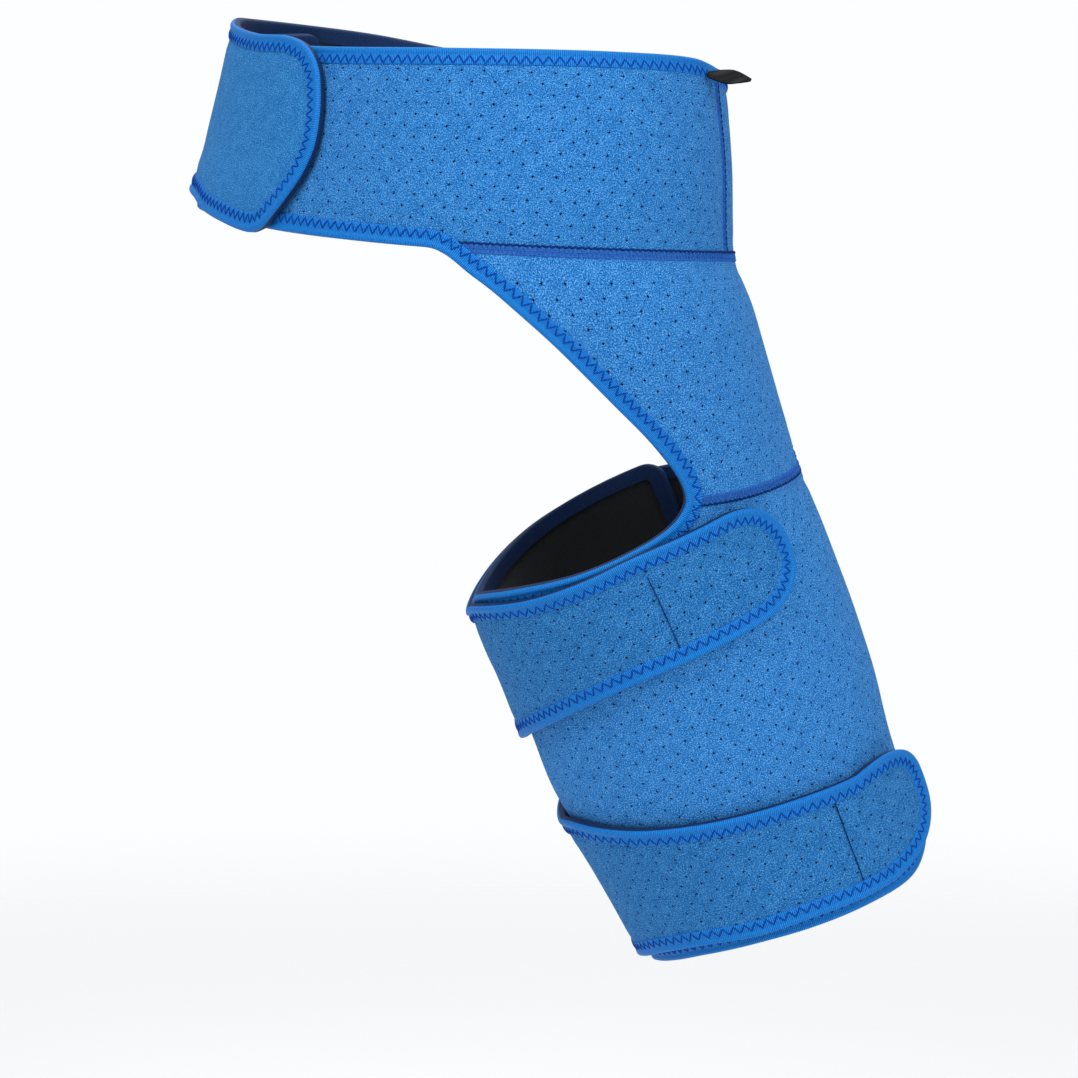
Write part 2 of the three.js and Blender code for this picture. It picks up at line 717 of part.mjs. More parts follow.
// A tape that starts at a rounded corner runs straight at first
const straightStart = ([around, down], length) => [
  [around, down],
  [around - degreesFor(length, around, down), down],
];
support.add(
  binding("belt_back_binding", {
    line: pulledIn([
      ...backTops.toReversed(),
      ...endOf(backColumns[0], beltRows),
      ...backBottoms.slice(0, cornerAt),
      ...straightStart(backBottoms[cornerAt], TAPE_STRAIGHT).reverse(),
    ]),
    inner: firstLayer,
  }),
  binding("rear_binding", {
    line: pulledIn([
      ...backBottoms.slice(cornerAt).filter(([around]) => around < hipRearEdge[0][0] - 2),
      ...hipRear,
      ...wrapTops.slice(wrapEnd.length - 1).reverse(),
    ]),
    inner: firstLayer,
  }),
  binding("hem_binding", {
    line: pulledIn([
      ...straightStart(wrapTops[wrapEnd.length - 1], TAPE_STRAIGHT),
      ...topsOf(wrapEnd).slice(0, -1).reverse(),
      ...endOf(wrapEnd[0], wrapRows),
      ...bottomsOf([...wrapEnd, ...wrapRearColumns, ...wrapSeamColumns]),
      ...bottomsOf(wrapFrontColumns).slice(1),
    ]),
    inner: wrapLayer,
  }),
  binding("flap_binding", {
    line: pulledIn([
      ...bottomsOf(flapColumns),
      ...endOf(flapColumns.at(-1), beltRows).reverse(),
      ...topsOf(flapColumns).reverse(),
    ]),
    inner: secondLayer,
  }),
  binding("belt_front_binding", {
    line: pulledIn(
      alongEdge(beltFrontTop, FLAP_START - joinGap, BELT_JOIN + joinGap, BELT_STEP),
    ),
    inner: beltLayer,
  }),
  binding("front_binding", {
    line: pulledIn([
      ...topsOf(wrapFrontColumns).slice(1).reverse(),
      ...hipFront.toReversed(),
      ...alongEdge(beltFrontBottom, hipFront[0][0] + 2, FLAP_START - joinGap, BELT_STEP),
    ]),
    inner: frontLayer,
  }),
  binding("fork_binding", {
    line: [
      [STRAP_START, forkLow],
      ...endOf(wrapFrontColumns.at(-1), wrapRows)
        .filter(([, down]) => down < forkLow && down > forkHigh)
        .reverse(),
      [STRAP_START, forkHigh],
    ],
    inner: wrapLayer,
  }),
);

// Label: a blank folded leaf that stands out of the belt's top binding. It hangs a little below
// square to the belt, and is gathered at its root and rounded at its tip.
function label() {
  const down = beltBackTop(LABEL_AROUND) + BINDING_WIDTH * LABEL_DOWN;
  const frame = formFrame(LABEL_AROUND, down);
  const along = frame.perDegree.clone().normalize();
  const downward = new THREE.Vector3().crossVectors(along, frame.normal);
  const drooped = (vector) => vector.clone().applyAxisAngle(along, radians(LABEL_DROOP));
  const outward = drooped(frame.normal);
  const drop = drooped(downward);
  const acrossWidth = drop.clone().multiplyScalar(Math.cos(radians(LABEL_TURN)));
  acrossWidth.addScaledVector(along, -Math.sin(radians(LABEL_TURN)));
  const acrossThick = new THREE.Vector3().crossVectors(acrossWidth, outward).normalize();
  const fullness = (share) => Math.sin(Math.PI * between(0.15, 0.9, share));
  const halfWidth = (share) => (LABEL_WIDTH / 2) * between(LABEL_PINCH, 1, fullness(share));
  // The drooped root's lower corner is nearest to the binding
  const reach = halfWidth(0) * Math.sin(radians(LABEL_DROOP)) * Math.cos(radians(LABEL_TURN));
  const root = skin(LABEL_AROUND, down, BOUND_EDGE + CLEARANCE + reach);
  const steps = 6;
  const vertices = [];
  for (let i = 0; i <= steps; i++) {
    const share = i / steps;
    const centre = root.clone().addScaledVector(outward, LABEL_LENGTH * share);
    centre.addScaledVector(drop, LABEL_SAG * share * share);
    for (const [w, t] of [[-1, -1], [1, -1], [1, 1], [-1, 1]])
      vertices.push(
        centre
          .clone()
          .addScaledVector(acrossWidth, w * halfWidth(share))
          .addScaledVector(acrossThick, (t * LABEL_THICKNESS) / 2),
      );
  }
  const triangles = [];
  for (let i = 0; i < steps; i++)
    for (let k = 0; k < 4; k++) {
      const next = (k + 1) % 4;
      triangles.push(...quad(4 * i + k, 4 * i + next, 4 * (i + 1) + next, 4 * (i + 1) + k));
    }
  triangles.push(...quad(3, 2, 1, 0), ...quad(4 * steps, 4 * steps + 1, 4 * steps + 2, 4 * steps + 3));
  return mesh("label", vertices, triangles, labelSatin);
}
support.add(label());

export default support;
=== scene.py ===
# %% [markdown]
# # A hip and groin support, dressed
# This support is a blue foam laminate cut flat, bound with tape, sewn into a belt, a hip panel and
# a thigh wrap, and closed with hook patches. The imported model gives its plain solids. This lesson
# replaces each of them with cloth, tape and thread made at real size.

# %% Load the plain model
import math

import bpy
import numpy as np
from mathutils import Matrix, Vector


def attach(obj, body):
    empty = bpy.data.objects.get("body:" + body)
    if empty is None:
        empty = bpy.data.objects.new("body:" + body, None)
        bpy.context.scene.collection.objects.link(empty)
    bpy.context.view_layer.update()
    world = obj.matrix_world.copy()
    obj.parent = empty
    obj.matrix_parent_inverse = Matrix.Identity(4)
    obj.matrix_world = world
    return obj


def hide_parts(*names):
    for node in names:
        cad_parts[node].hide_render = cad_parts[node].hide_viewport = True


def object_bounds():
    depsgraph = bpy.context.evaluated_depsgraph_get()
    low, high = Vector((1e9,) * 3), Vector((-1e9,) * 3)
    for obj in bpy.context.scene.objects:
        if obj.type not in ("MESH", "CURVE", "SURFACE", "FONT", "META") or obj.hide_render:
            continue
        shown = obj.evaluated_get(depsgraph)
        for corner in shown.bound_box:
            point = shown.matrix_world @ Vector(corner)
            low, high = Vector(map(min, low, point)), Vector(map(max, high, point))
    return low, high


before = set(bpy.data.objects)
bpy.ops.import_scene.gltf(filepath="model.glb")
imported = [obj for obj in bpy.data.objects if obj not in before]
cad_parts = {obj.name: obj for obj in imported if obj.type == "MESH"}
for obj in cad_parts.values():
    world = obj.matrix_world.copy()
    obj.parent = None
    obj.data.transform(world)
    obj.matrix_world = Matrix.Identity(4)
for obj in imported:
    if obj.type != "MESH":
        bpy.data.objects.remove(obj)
plain_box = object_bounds()
MM = 0.001
print("plain model's box", [[round(v, 3) for v in corner] for corner in plain_box])

# %% [markdown]
# ## The camera
# The picture was taken from the rear right, a little above the middle, with a long lens. A small
# lens shift frames the support as the picture does, without turning the camera. The lights are
# placed and aimed at the same spot by the same two functions.

# %% Camera
TARGET = Vector((0.045, 0.040, -0.190))
AZIMUTH, ELEVATION, DISTANCE = 58.0, 5.29, 2.5


def towards(azimuth, elevation):
    turn, rise = math.radians(azimuth), math.radians(elevation)
    return Vector((math.sin(turn) * math.cos(rise), -math.cos(turn) * math.cos(rise),
                   math.sin(rise)))


def add_and_aim(name, data, azimuth, elevation, distance):
    thing = bpy.data.objects.new(name, data)
    bpy.context.scene.collection.objects.link(thing)
    way = towards(azimuth, elevation)
    thing.location = TARGET + distance * way
    thing.rotation_euler = (-way).to_track_quat("-Z", "Y").to_euler()
    return thing


camera_data = bpy.data.cameras.new("camera")
camera_data.sensor_width = 36
camera_data.lens = 154.45
camera_data.shift_x = -0.0415
camera_data.shift_y = -0.0294
camera_data.clip_end = 50
camera = add_and_aim("camera", camera_data, AZIMUTH, ELEVATION, DISTANCE)
bpy.context.scene.camera = camera
print("camera at", [round(v, 3) for v in camera.location])

# %% [markdown]
# ## Smooth curves from short tables
# A pattern maker draws an edge through a few marks with a flexible ruler. This function does the
# same with numbers: it passes through each row of a table and stays smooth between them, and it
# takes whole arrays of places at once.

# %% A flexible ruler
def smooth(rows):
    table = np.array(rows, float)
    knots, values = table[:, 0], table[:, 1:]
    last = len(knots) - 1
    before = np.maximum(np.arange(last + 1) - 1, 0)
    after = np.minimum(np.arange(last + 1) + 1, last)
    slopes = (values[after] - values[before]) / (knots[after] - knots[before])[:, None]

    def through(place):
        place = np.asarray(place, float)
        i = np.clip(np.searchsorted(knots, place, side="right") - 1, 0, last - 1)
        span = (knots[i + 1] - knots[i])[..., None]
        s = (place - knots[i])[..., None] / span
        return (
            (1 + 2 * s) * (1 - s) ** 2 * values[i]
            + s * (1 - s) ** 2 * span * slopes[i]
            + s * s * (3 - 2 * s) * values[i + 1]
            + s * s * (s - 1) * span * slopes[i + 1]
        )

    return through


# %% [markdown]
# ## The form inside
# A support that hangs empty has no shape, so it is built round the form that it is worn on: a
# stack of ellipses from the top of the belt down to the hem of the thigh wrap. Each place on it
# has two numbers, degrees round from the right side and millimetres down.

# %% The form's sections
WAIST_HALF_WIDTH, WAIST_HALF_DEPTH, BELT_WIDTH, BELT_LEAN = 168.5, 120, 100, -3
HIP_LENGTH, THIGH_LENGTH, THIGH_RADIUS, THIGH_LEAN, THIGH_SPREAD = 115, 237, 92, 25, 1
THIGH_TOP_SIDE, THIGH_TOP_FORWARD, THIGH_TOP_DROP = 73, 48, 140
THIGH_TOP = BELT_WIDTH + HIP_LENGTH


def belt_row(at, forward, width, front, back):
    return [
        at * BELT_WIDTH, 0, forward * WAIST_HALF_DEPTH, (0.5 - at) * BELT_WIDTH, BELT_LEAN,
        width * WAIST_HALF_WIDTH, width * WAIST_HALF_WIDTH,
        front * WAIST_HALF_DEPTH, back * WAIST_HALF_DEPTH,
    ]


def thigh_row(at, outer, inner):
    lean, spread, drop = math.radians(THIGH_LEAN), math.radians(THIGH_SPREAD), at * THIGH_LENGTH
    return [
        THIGH_TOP + drop,
        THIGH_TOP_SIDE + drop * math.sin(spread),
        THIGH_TOP_FORWARD + drop * math.sin(lean),
        -BELT_WIDTH / 2 - THIGH_TOP_DROP - drop * math.cos(lean),
        THIGH_LEAN,
        outer * THIGH_RADIUS, inner * THIGH_RADIUS, outer * THIGH_RADIUS, inner * THIGH_RADIUS,
    ]


belt_foot = belt_row(1.0, -0.055, 1.033, 1.025, 1.065)
hip_row = [
    BELT_WIDTH + 0.435 * HIP_LENGTH,
    0.436 * THIGH_TOP_SIDE,
    belt_foot[2] + 0.36 * (THIGH_TOP_FORWARD - belt_foot[2]),
    belt_foot[3] - 0.31 * THIGH_TOP_DROP,
    BELT_LEAN + 0.32 * (THIGH_LEAN - BELT_LEAN),
    0.86 * WAIST_HALF_WIDTH, 0.79 * WAIST_HALF_WIDTH,
    0.86 * WAIST_HALF_DEPTH, 1.1 * WAIST_HALF_DEPTH,
]
section = smooth([
    belt_row(0.0, 0.031, 0.893, 0.949, 1.0),
    belt_row(0.5, -0.025, 1.0, 0.983, 1.013),
    belt_foot,
    hip_row,
    thigh_row(0.0, 1.0, 1.0),
    thigh_row(0.21, 0.995, 0.945),
    thigh_row(0.38, 0.99, 0.952),
    thigh_row(0.55, 0.96, 0.96),
    thigh_row(0.76, 0.9, 0.875),
    thigh_row(1.0, 0.875, 0.814),
])


# %% [markdown]
# ## Points on the form and off it
# Cloth lies at a height above the form, measured along the form's own normal. The same two
# directions, one degree round and one millimetre down, also say how to walk sideways on it.

# %% From a place to a point
def form(around, down):
    x, y, z, lean, right, left, front, back = np.moveaxis(section(down), -1, 0)
    c, s, lean = np.cos(np.radians(around)), np.sin(np.radians(around)), np.radians(lean)
    sideways = np.where(c > 0, right, left) * c
    forward = np.where(s > 0, front, back) * s
    return np.stack([x + sideways, y + forward * np.cos(lean), z + forward * np.sin(lean)], -1)


def unit(vectors):
    return vectors / np.linalg.norm(vectors, axis=-1, keepdims=True)


def directions(around, down):
    per_degree = form(around + 0.5, down) - form(around - 0.5, down)
    per_down = form(around, down + 0.5) - form(around, down - 0.5)
    return per_degree, per_down, unit(np.cross(per_down, per_degree))


def skin(around, down, height):
    around, down = np.broadcast_arrays(np.asarray(around, float), np.asarray(down, float))
    return form(around, down) + directions(around, down)[2] * np.asarray(height)[..., None]


def degrees_for(length, around, down):
    return length / float(np.linalg.norm(directions(around, down)[0]))


print("belt at the right side", form(0.0, 50.0).round(1), "hem", form(0.0, 452.0).round(1))

# %% [markdown]
# ## Cloth thickness and layers
# Everything is sewn from 3 mm laminate and thin tape. Where the belt passes over its own hidden
# end, and where the straps pass over the wrap, a second layer lies on the first, so each piece has
# a rule for how high its inner face is.

# %% Layers
FABRIC, TAPE, BINDING_WIDTH = 3.0, 0.7, 8.0
CLEARANCE, SEWN_CLEARANCE, TAPE_PAST, CORNER = 0.3, 0.5, 0.1, 9.0
FIRST_LAYER = TAPE + SEWN_CLEARANCE
SECOND_LAYER = 2 * FIRST_LAYER + FABRIC + FIRST_LAYER + 2 * CLEARANCE
BELT_JOIN, BELT_BACK_END, FLAP_START, FLAP_HOOK_START = 32.5, -170, 178, 238
BELT_STEP_UP, WRAP_UNDER_END, STRAP_START, WRAP_STEP_UP, STEP_UP_SPAN = 150, -224, 150, 104, 24
UPPER_TAB_START, UPPER_HOOK_START, UPPER_TAB_LENGTH, UPPER_TAB_SQUARENESS = 356.5, 331, 34, 2.3
LOWER_TAB_START, LOWER_HOOK_START, LOWER_TAB_LENGTH, LOWER_TAB_SQUARENESS = 372, 360, 46, 2.6
LOWER_TAB_LIFT = 7  # the lower tab's end stands this far off the thigh
lower_tab_reach = degrees_for(LOWER_TAB_LENGTH, LOWER_TAB_START, THIGH_TOP + THIGH_LENGTH)


def ease(share):
    s = np.clip(share, 0, 1)
    return s * s * (3 - 2 * s)


def climb(around, start):
    return FIRST_LAYER + (SECOND_LAYER - FIRST_LAYER) * ease((around - start) / STEP_UP_SPAN)


def first_layer(around, down):
    return np.full(np.shape(around), FIRST_LAYER)


def second_layer(around, down):
    return np.full(np.shape(around), SECOND_LAYER)


def belt_layer(around, down):
    return climb(around, BELT_STEP_UP)


def wrap_layer(around, down):
    return climb(around, WRAP_STEP_UP)


def front_layer(around, down):
    on_belt_side = down < BELT_WIDTH + HIP_LENGTH / 2
    return np.where(on_belt_side, climb(around, BELT_STEP_UP), climb(around, WRAP_STEP_UP))


def lower_tab_layer(around, down):
    past = np.maximum(0, around - LOWER_TAB_START) / lower_tab_reach
    return SECOND_LAYER + LOWER_TAB_LIFT * past ** 2


print("layers", FIRST_LAYER, round(SECOND_LAYER, 2), "mm off the form")

# %% [markdown]
# ## The pattern's edges
# Each cut edge is a short table of marks: degrees round, and a share of the belt's width or of the
# thigh's length. They are the same edges as the plain solids have, so cloth and solid agree.

# %% Edges
POINTS_A_MARK = 12


def edge_from(rows, start, length):
    line = smooth([[around, start + share * length] for around, share in rows])
    return lambda around: line(around)[..., 0]


def on_belt(*rows):
    return edge_from(rows, 0, BELT_WIDTH)


def on_thigh(*rows):
    return edge_from(rows, THIGH_TOP, THIGH_LENGTH)


def on_hip(*rows):
    marks = smooth([[i, around, BELT_WIDTH + share * HIP_LENGTH]
                    for i, (around, share) in enumerate(rows)])
    return marks(np.linspace(0, len(rows) - 1, POINTS_A_MARK * len(rows)))


belt_back_top = on_belt(
    (-170, -0.13), (-120, -0.06), (-80, 0.0), (-45, 0.0), (-5, -0.015), (20, -0.015), (33, 0.02))
belt_back_bottom = on_belt(
    (-170, 0.81), (-120, 0.86), (-80, 0.945), (-58, 0.975), (-44, 0.985), (33, 0.985))
belt_front_top = on_belt(
    (32, 0.02), (60, 0.05), (90, 0.04), (135, -0.05), (180, -0.15), (225, -0.165),
    (241, -0.12), (264, -0.055), (276, -0.045))
belt_front_bottom = on_belt(
    (32, 0.985), (88, 0.985), (135, 0.91), (180, 0.8), (225, 0.77), (245, 0.81), (254, 0.87),
    (264, 0.92), (272, 0.955), (276, 0.955))
flap_end = [(277.5, -0.035, 0.93), (280.5, -0.015, 0.865), (283, 0.02, 0.79),
            (285.2, 0.08, 0.69), (286.5, 0.14, 0.58)]
FLAP_END_BULGE = 1
hip_rear = on_hip(
    (-44.5, -0.01), (-41.5, 0.03), (-38.6, 0.095), (-35, 0.17), (-30, 0.31), (-24.5, 0.455),
    (-19, 0.58), (-13.5, 0.69), (-9.8, 0.78), (-8.6, 0.83), (-8.6, 0.878))
hip_front = on_hip(
    (88, -0.01), (83, 0.04), (79, 0.14), (74.5, 0.31), (71.5, 0.5), (69.5, 0.7), (68.5, 0.88),
    (68.5, 1.02), (68.5, 1.122))
wrap_top_rear = on_thigh(
    (-225, 0.03), (-180, 0.04), (-140, 0.055), (-117, 0.043), (-98, 0.006), (-73, -0.01),
    (-46, -0.015), (-25, -0.026), (-17, -0.034), (-12, -0.045), (-8.6, -0.06))
wrap_top_front = on_thigh(
    (68.5, 0.063), (71.5, 0.075), (77, 0.087), (90, 0.095), (120, 0.07), (150, 0.035),
    (155, 0.034))
hem = on_thigh(
    (-225, 0.985), (-180, 1.0), (-140, 1.025), (-117, 1.025), (-101, 1.002), (-82, 0.975),
    (-67, 0.958), (-44, 0.95), (-23, 0.957), (0, 0.972), (26, 0.993), (45, 0.984), (90, 0.98),
    (155, 0.985))
upper_strap_top = on_thigh(
    (148, 0.035), (180, 0.04), (220, 0.064), (243, 0.052), (262, 0.014), (298, -0.002),
    (314, -0.01), (330, -0.02), (357, -0.021))
upper_strap_bottom = on_thigh(
    (148, 0.35), (200, 0.385), (220, 0.405), (243, 0.405), (258, 0.368), (275, 0.325),
    (293, 0.282), (313, 0.248), (330, 0.236), (357, 0.23))
lower_strap_top = on_thigh(
    (148, 0.565), (200, 0.6), (220, 0.617), (243, 0.617), (262, 0.588), (275, 0.587),
    (295, 0.6), (315, 0.615), (339, 0.638), (353, 0.655), (369, 0.678), (373, 0.683))
lower_strap_bottom = on_thigh(
    (148, 0.985), (180, 0.985), (220, 1.003), (243, 1.0), (260, 0.97), (278, 0.935),
    (298, 0.916), (318, 0.92), (338, 0.924), (362, 0.944), (373, 0.952))


def seam_down(around):
    share = (around - hip_rear[-1, 0]) / (hip_front[-1, 0] - hip_rear[-1, 0])
    return hip_rear[-1, 1] + share * (hip_front[-1, 1] - hip_rear[-1, 1])


def wrap_top(around):
    at_seam = seam_down(around) + CLEARANCE
    return np.where(around < hip_rear[-1, 0], wrap_top_rear(around),
                    np.where(around < hip_front[-1, 0], at_seam, wrap_top_front(around)))


def belt_bottom(around):
    return np.where(around < BELT_JOIN, belt_back_bottom(around), belt_front_bottom(around))


# %% [markdown]
# ## From edges to outlines
# A panel's outline runs along its top edge, round its end, back along its bottom edge and up its
# start. Hidden ends have rounded corners and the strap tabs end in a fuller curve, a superellipse,
# which is the shape a steel-rule die cuts.

# %% Outlines
EDGE_STEP = 1.5  # degrees between the points of an edge
BUTT, STRAP_BUTT = 0.05, 0.2  # degrees that two cut edges stay apart where they are butted
SLIVER = 0.001  # degrees that part the two sides of a step in an edge
CORNER_POINTS, TAB_POINTS, TAB_FROM, TAB_TO = 10, 16, 86, 13
BELT_CORNER_END = -164.6  # where the belt's rounded corners give way to straight edges
FLAP_STRAIGHT_END, FLAP_ROUND_START, FLAP_ROUND_POINTS = 274, 274.5, 26


def round_trip(start, end, step=EDGE_STEP):
    return np.linspace(start, end, max(2, int(abs(end - start) / step) + 1))


def columns_between(top, bottom, start, end):
    around = round_trip(start, end)
    return np.stack([around, top(around), bottom(around), 0 * around], 1)


def corner_columns(top, bottom, end, direction):
    reach = direction * degrees_for(CORNER, end, (top(end) + bottom(end)) / 2)
    angle = np.radians(np.linspace(0, 90, CORNER_POINTS))
    around = end - reach * (1 - np.cos(angle))
    drop = CORNER * (1 - np.sin(angle))
    return np.stack([around, top(around) + drop, bottom(around) - drop, 0 * around], 1)


def tab_columns(top, bottom, start, length, squareness):
    high, low = top(start), bottom(start)
    reach = degrees_for(length, start, (high + low) / 2)
    angle = np.radians(np.linspace(TAB_FROM, TAB_TO, TAB_POINTS))
    out = np.cos(angle) ** (2 / squareness)
    half = np.sin(angle) ** (2 / squareness) * (low - high) / 2
    bulge = np.where(np.arange(TAB_POINTS) == TAB_POINTS - 1, reach * (1 - out), 0)
    middle = (high + low) / 2
    return np.stack([start + reach * out, middle - half, middle + half, bulge], 1)


def end_line(column, count=14):
    share = np.linspace(0, 1, count)[1:-1]
    around, top, bottom, bulge = column
    return np.stack([around + bulge * (1 - (2 * share - 1) ** 2), top + (bottom - top) * share], 1)


def outline_of(columns):
    tops, bottoms = columns[:, [0, 1]], columns[:, [0, 2]]
    return np.concatenate([
        tops, end_line(columns[-1]), bottoms[::-1], end_line(columns[0])[::-1],
    ])


belt_back_columns = np.concatenate([
    corner_columns(belt_back_top, belt_back_bottom, BELT_BACK_END, -1),
    columns_between(belt_back_top, belt_back_bottom, BELT_CORNER_END, BELT_JOIN - BUTT)[1:],
])
belt_front_columns = columns_between(
    belt_front_top, belt_front_bottom, BELT_JOIN + BUTT, FLAP_START - BUTT)
flap_marks = [(FLAP_ROUND_START, float(belt_front_top(FLAP_ROUND_START)) / BELT_WIDTH,
               float(belt_front_bottom(FLAP_ROUND_START)) / BELT_WIDTH)] + flap_end
flap_rounding = smooth([[i, *row] for i, row in enumerate(flap_marks)])(
    np.linspace(0, len(flap_end), FLAP_ROUND_POINTS))
flap_columns = np.concatenate([
    columns_between(belt_front_top, belt_front_bottom, FLAP_START + BUTT, FLAP_STRAIGHT_END),
    np.column_stack([flap_rounding[:, 0], flap_rounding[:, 1:] * BELT_WIDTH,
                     np.zeros(FLAP_ROUND_POINTS)]),
])
flap_columns[-1, 3] = FLAP_END_BULGE
wrap_end_columns = corner_columns(wrap_top, hem, WRAP_UNDER_END, -1)
wrap_columns = np.concatenate([
    wrap_end_columns,
    columns_between(wrap_top, hem, wrap_end_columns[-1, 0], hip_rear[-1, 0] - 2 * BUTT)[1:],
    columns_between(wrap_top, hem, hip_rear[-1, 0], hip_front[-1, 0] - SLIVER),
    columns_between(wrap_top, hem, hip_front[-1, 0] + SLIVER, STRAP_START),
])
upper_strap_columns, lower_strap_columns = [
    np.concatenate([
        columns_between(top, bottom, STRAP_START + STRAP_BUTT, start),
        tab_columns(top, bottom, start, length, squareness),
    ])
    for top, bottom, start, length, squareness in (
        (upper_strap_top, upper_strap_bottom, UPPER_TAB_START, UPPER_TAB_LENGTH,
         UPPER_TAB_SQUARENESS),
        (lower_strap_top, lower_strap_bottom, LOWER_TAB_START, LOWER_TAB_LENGTH,
         LOWER_TAB_SQUARENESS),
    )
]
hip_top = round_trip(hip_front[0, 0], hip_rear[0, 0])[1:-1]
hip_foot = round_trip(hip_rear[-1, 0], hip_front[-1, 0])[1:-1]
hip_outline = np.concatenate([
    np.stack([hip_top, belt_bottom(hip_top) + CLEARANCE], 1)[::-1],
    hip_front,
    np.stack([hip_foot, seam_down(hip_foot)], 1)[::-1],
    hip_rear[::-1],
])
print("outlines have", len(hip_outline), "to", len(wrap_columns) * 2, "points")

# %% [markdown]
# ## Node helper and colours
# Colours are written as the hex values a designer would pick from a picture, and one function
# turns them to the linear values that Blender's shaders want. One more adds a node, sets it and
# links it. The rest are short names for what most of the materials below do: tint the surface by a
# pattern, emboss it, and read a place on the flat cloth or on the object.

# %% Material helpers
def colour(hex_value):
    channels = [int(hex_value[i:i + 2], 16) / 255 for i in (0, 2, 4)]
    return [c / 12.92 if c <= 0.04045 else ((c + 0.055) / 1.055) ** 2.4 for c in channels] + [1.0]


def add(tree, kind, links=None, values=None, **settings):
    node = tree.nodes.new(kind)
    for name, value in settings.items():
        setattr(node, name, value)
    for socket, value in (values or {}).items():
        node.inputs[socket].default_value = value
    for socket, source in (links or {}).items():
        tree.links.new(source, node.inputs[socket])
    return node


def ramp(tree, factor, stops):
    node = add(tree, "ShaderNodeValToRGB", {"Fac": factor})
    band = node.color_ramp
    while len(band.elements) < len(stops):
        band.elements.new(0.5)
    for element, (position, hex_value) in zip(band.elements, stops):
        element.position, element.color = position, colour(hex_value)
    return node.outputs["Color"]


def new_material(name, **surface):
    material = bpy.data.materials.new(name)
    material.use_nodes = True
    tree = material.node_tree
    shader = tree.nodes["Principled BSDF"]
    for socket, value in surface.items():
        shader.inputs[socket.replace("_", " ")].default_value = value
    return material, tree, shader


def tint(tree, shader, factor, stops):
    tree.links.new(ramp(tree, factor, stops), shader.inputs["Base Color"])


def emboss(tree, shader, height, strength, depth):
    bump = add(tree, "ShaderNodeBump", {"Height": height},
               {"Strength": strength, "Distance": depth * MM})
    tree.links.new(bump.outputs["Normal"], shader.inputs["Normal"])


def cloth_place(tree):
    return add(tree, "ShaderNodeUVMap", uv_map="cloth").outputs["UV"]


def object_place(tree):
    return add(tree, "ShaderNodeTexCoord").outputs["Object"]


# %% [markdown]
# ## Brushed loop laminate
# The outer face is a knitted nylon whose loops are brushed up so that hooks can grip it. Up close
# it is a heather of light and dark fibres 0.5 to 1 mm long, matt, with a faint sheen at grazing
# angles. Two sizes of noise on the cloth's own flat coordinates give the fibres, and a trace of
# clouding where the pile has been stroked. The belt has the plain tone; the leg panels take a
# lighter copy as painted light and the straps a darker copy as painted shade, for how light falls.

# %% Laminate materials
FIBRE, CLOUD = 0.6 * MM, 7 * MM


def laminate(name, dark, middle, light):
    material, tree, shader = new_material(
        name, Roughness=0.95, Sheen_Weight=0.06, Sheen_Roughness=0.5, Specular_IOR_Level=0.1,
        Sheen_Tint=colour("9CC6F0"))
    uv = cloth_place(tree)
    fibres = add(tree, "ShaderNodeTexNoise", {"Vector": uv},
                 {"Scale": 1 / FIBRE, "Detail": 3.0, "Roughness": 0.65, "Distortion": 0.6})
    clouds = add(tree, "ShaderNodeTexNoise", {"Vector": uv},
                 {"Scale": 1 / CLOUD, "Detail": 2.0, "Roughness": 0.5})
    both = add(tree, "ShaderNodeMix", {"A": fibres.outputs["Fac"], "B": clouds.outputs["Fac"]},
               {"Factor": 0.08}, data_type="FLOAT")
    tint(tree, shader, both.outputs["Result"], [(0.36, dark), (0.5, middle), (0.64, light)])
    emboss(tree, shader, fibres.outputs["Fac"], 0.55, 0.35)
    return material


belt_laminate = laminate("brushed_loop_laminate", "003374", "1766AA", "5FA5E2")
# painted light and painted shade: the leg copy is lighter and the strap copy darker than the
# belt's, standing for how light falls on them
leg_laminate_painted_light = laminate("brushed_loop_laminate_leg_painted_light", "02377B", "1C6CB2", "66ACEA")
strap_laminate_painted_shade = laminate("brushed_loop_laminate_strap_painted_shade", "00316E", "1261A2", "589ED8")
plain_laminate = laminate("brushed_loop_laminate_flap", "00377A", "1768A8", "529DD8")
print("laminates", [each.name for each in (belt_laminate, leg_laminate_painted_light, strap_laminate_painted_shade,
                                           plain_laminate)])

# %% [markdown]
# ## Lining and foam
# The inner face is a smooth black jersey, and inside the punched holes and at cut edges the dark
# foam core shows. Jersey is a fine rib of stitches about 0.8 mm wide.

# %% Lining and foam
JERSEY_RIB, FOAM_CELL = 0.8 * MM, 0.5 * MM
WAVE_TURN = 6.283  # a wave texture's scale is given in turns of a circle


def jersey():
    material, tree, shader = new_material("black_jersey_lining", Roughness=0.85,
                                          Sheen_Weight=0.2, Sheen_Roughness=0.5,
                                          Specular_IOR_Level=0.25)
    rib = add(tree, "ShaderNodeTexWave", {"Vector": cloth_place(tree)},
              {"Scale": 1 / (JERSEY_RIB * WAVE_TURN), "Distortion": 0.8, "Detail": 1.0},
              wave_type="BANDS", bands_direction="X")
    tint(tree, shader, rib.outputs["Fac"], [(0.0, "0E1014"), (1.0, "1E2228")])
    emboss(tree, shader, rib.outputs["Fac"], 0.4, 0.2)
    return material


def foam():
    material, tree, shader = new_material("cut_foam_core", Roughness=1.0)
    cells = add(tree, "ShaderNodeTexVoronoi", {"Vector": object_place(tree)},
                {"Scale": 1 / FOAM_CELL})
    tint(tree, shader, cells.outputs["Distance"], [(0.0, "0E3470"), (1.0, "1C5298")])
    return material


lining, foam_core = jersey(), foam()
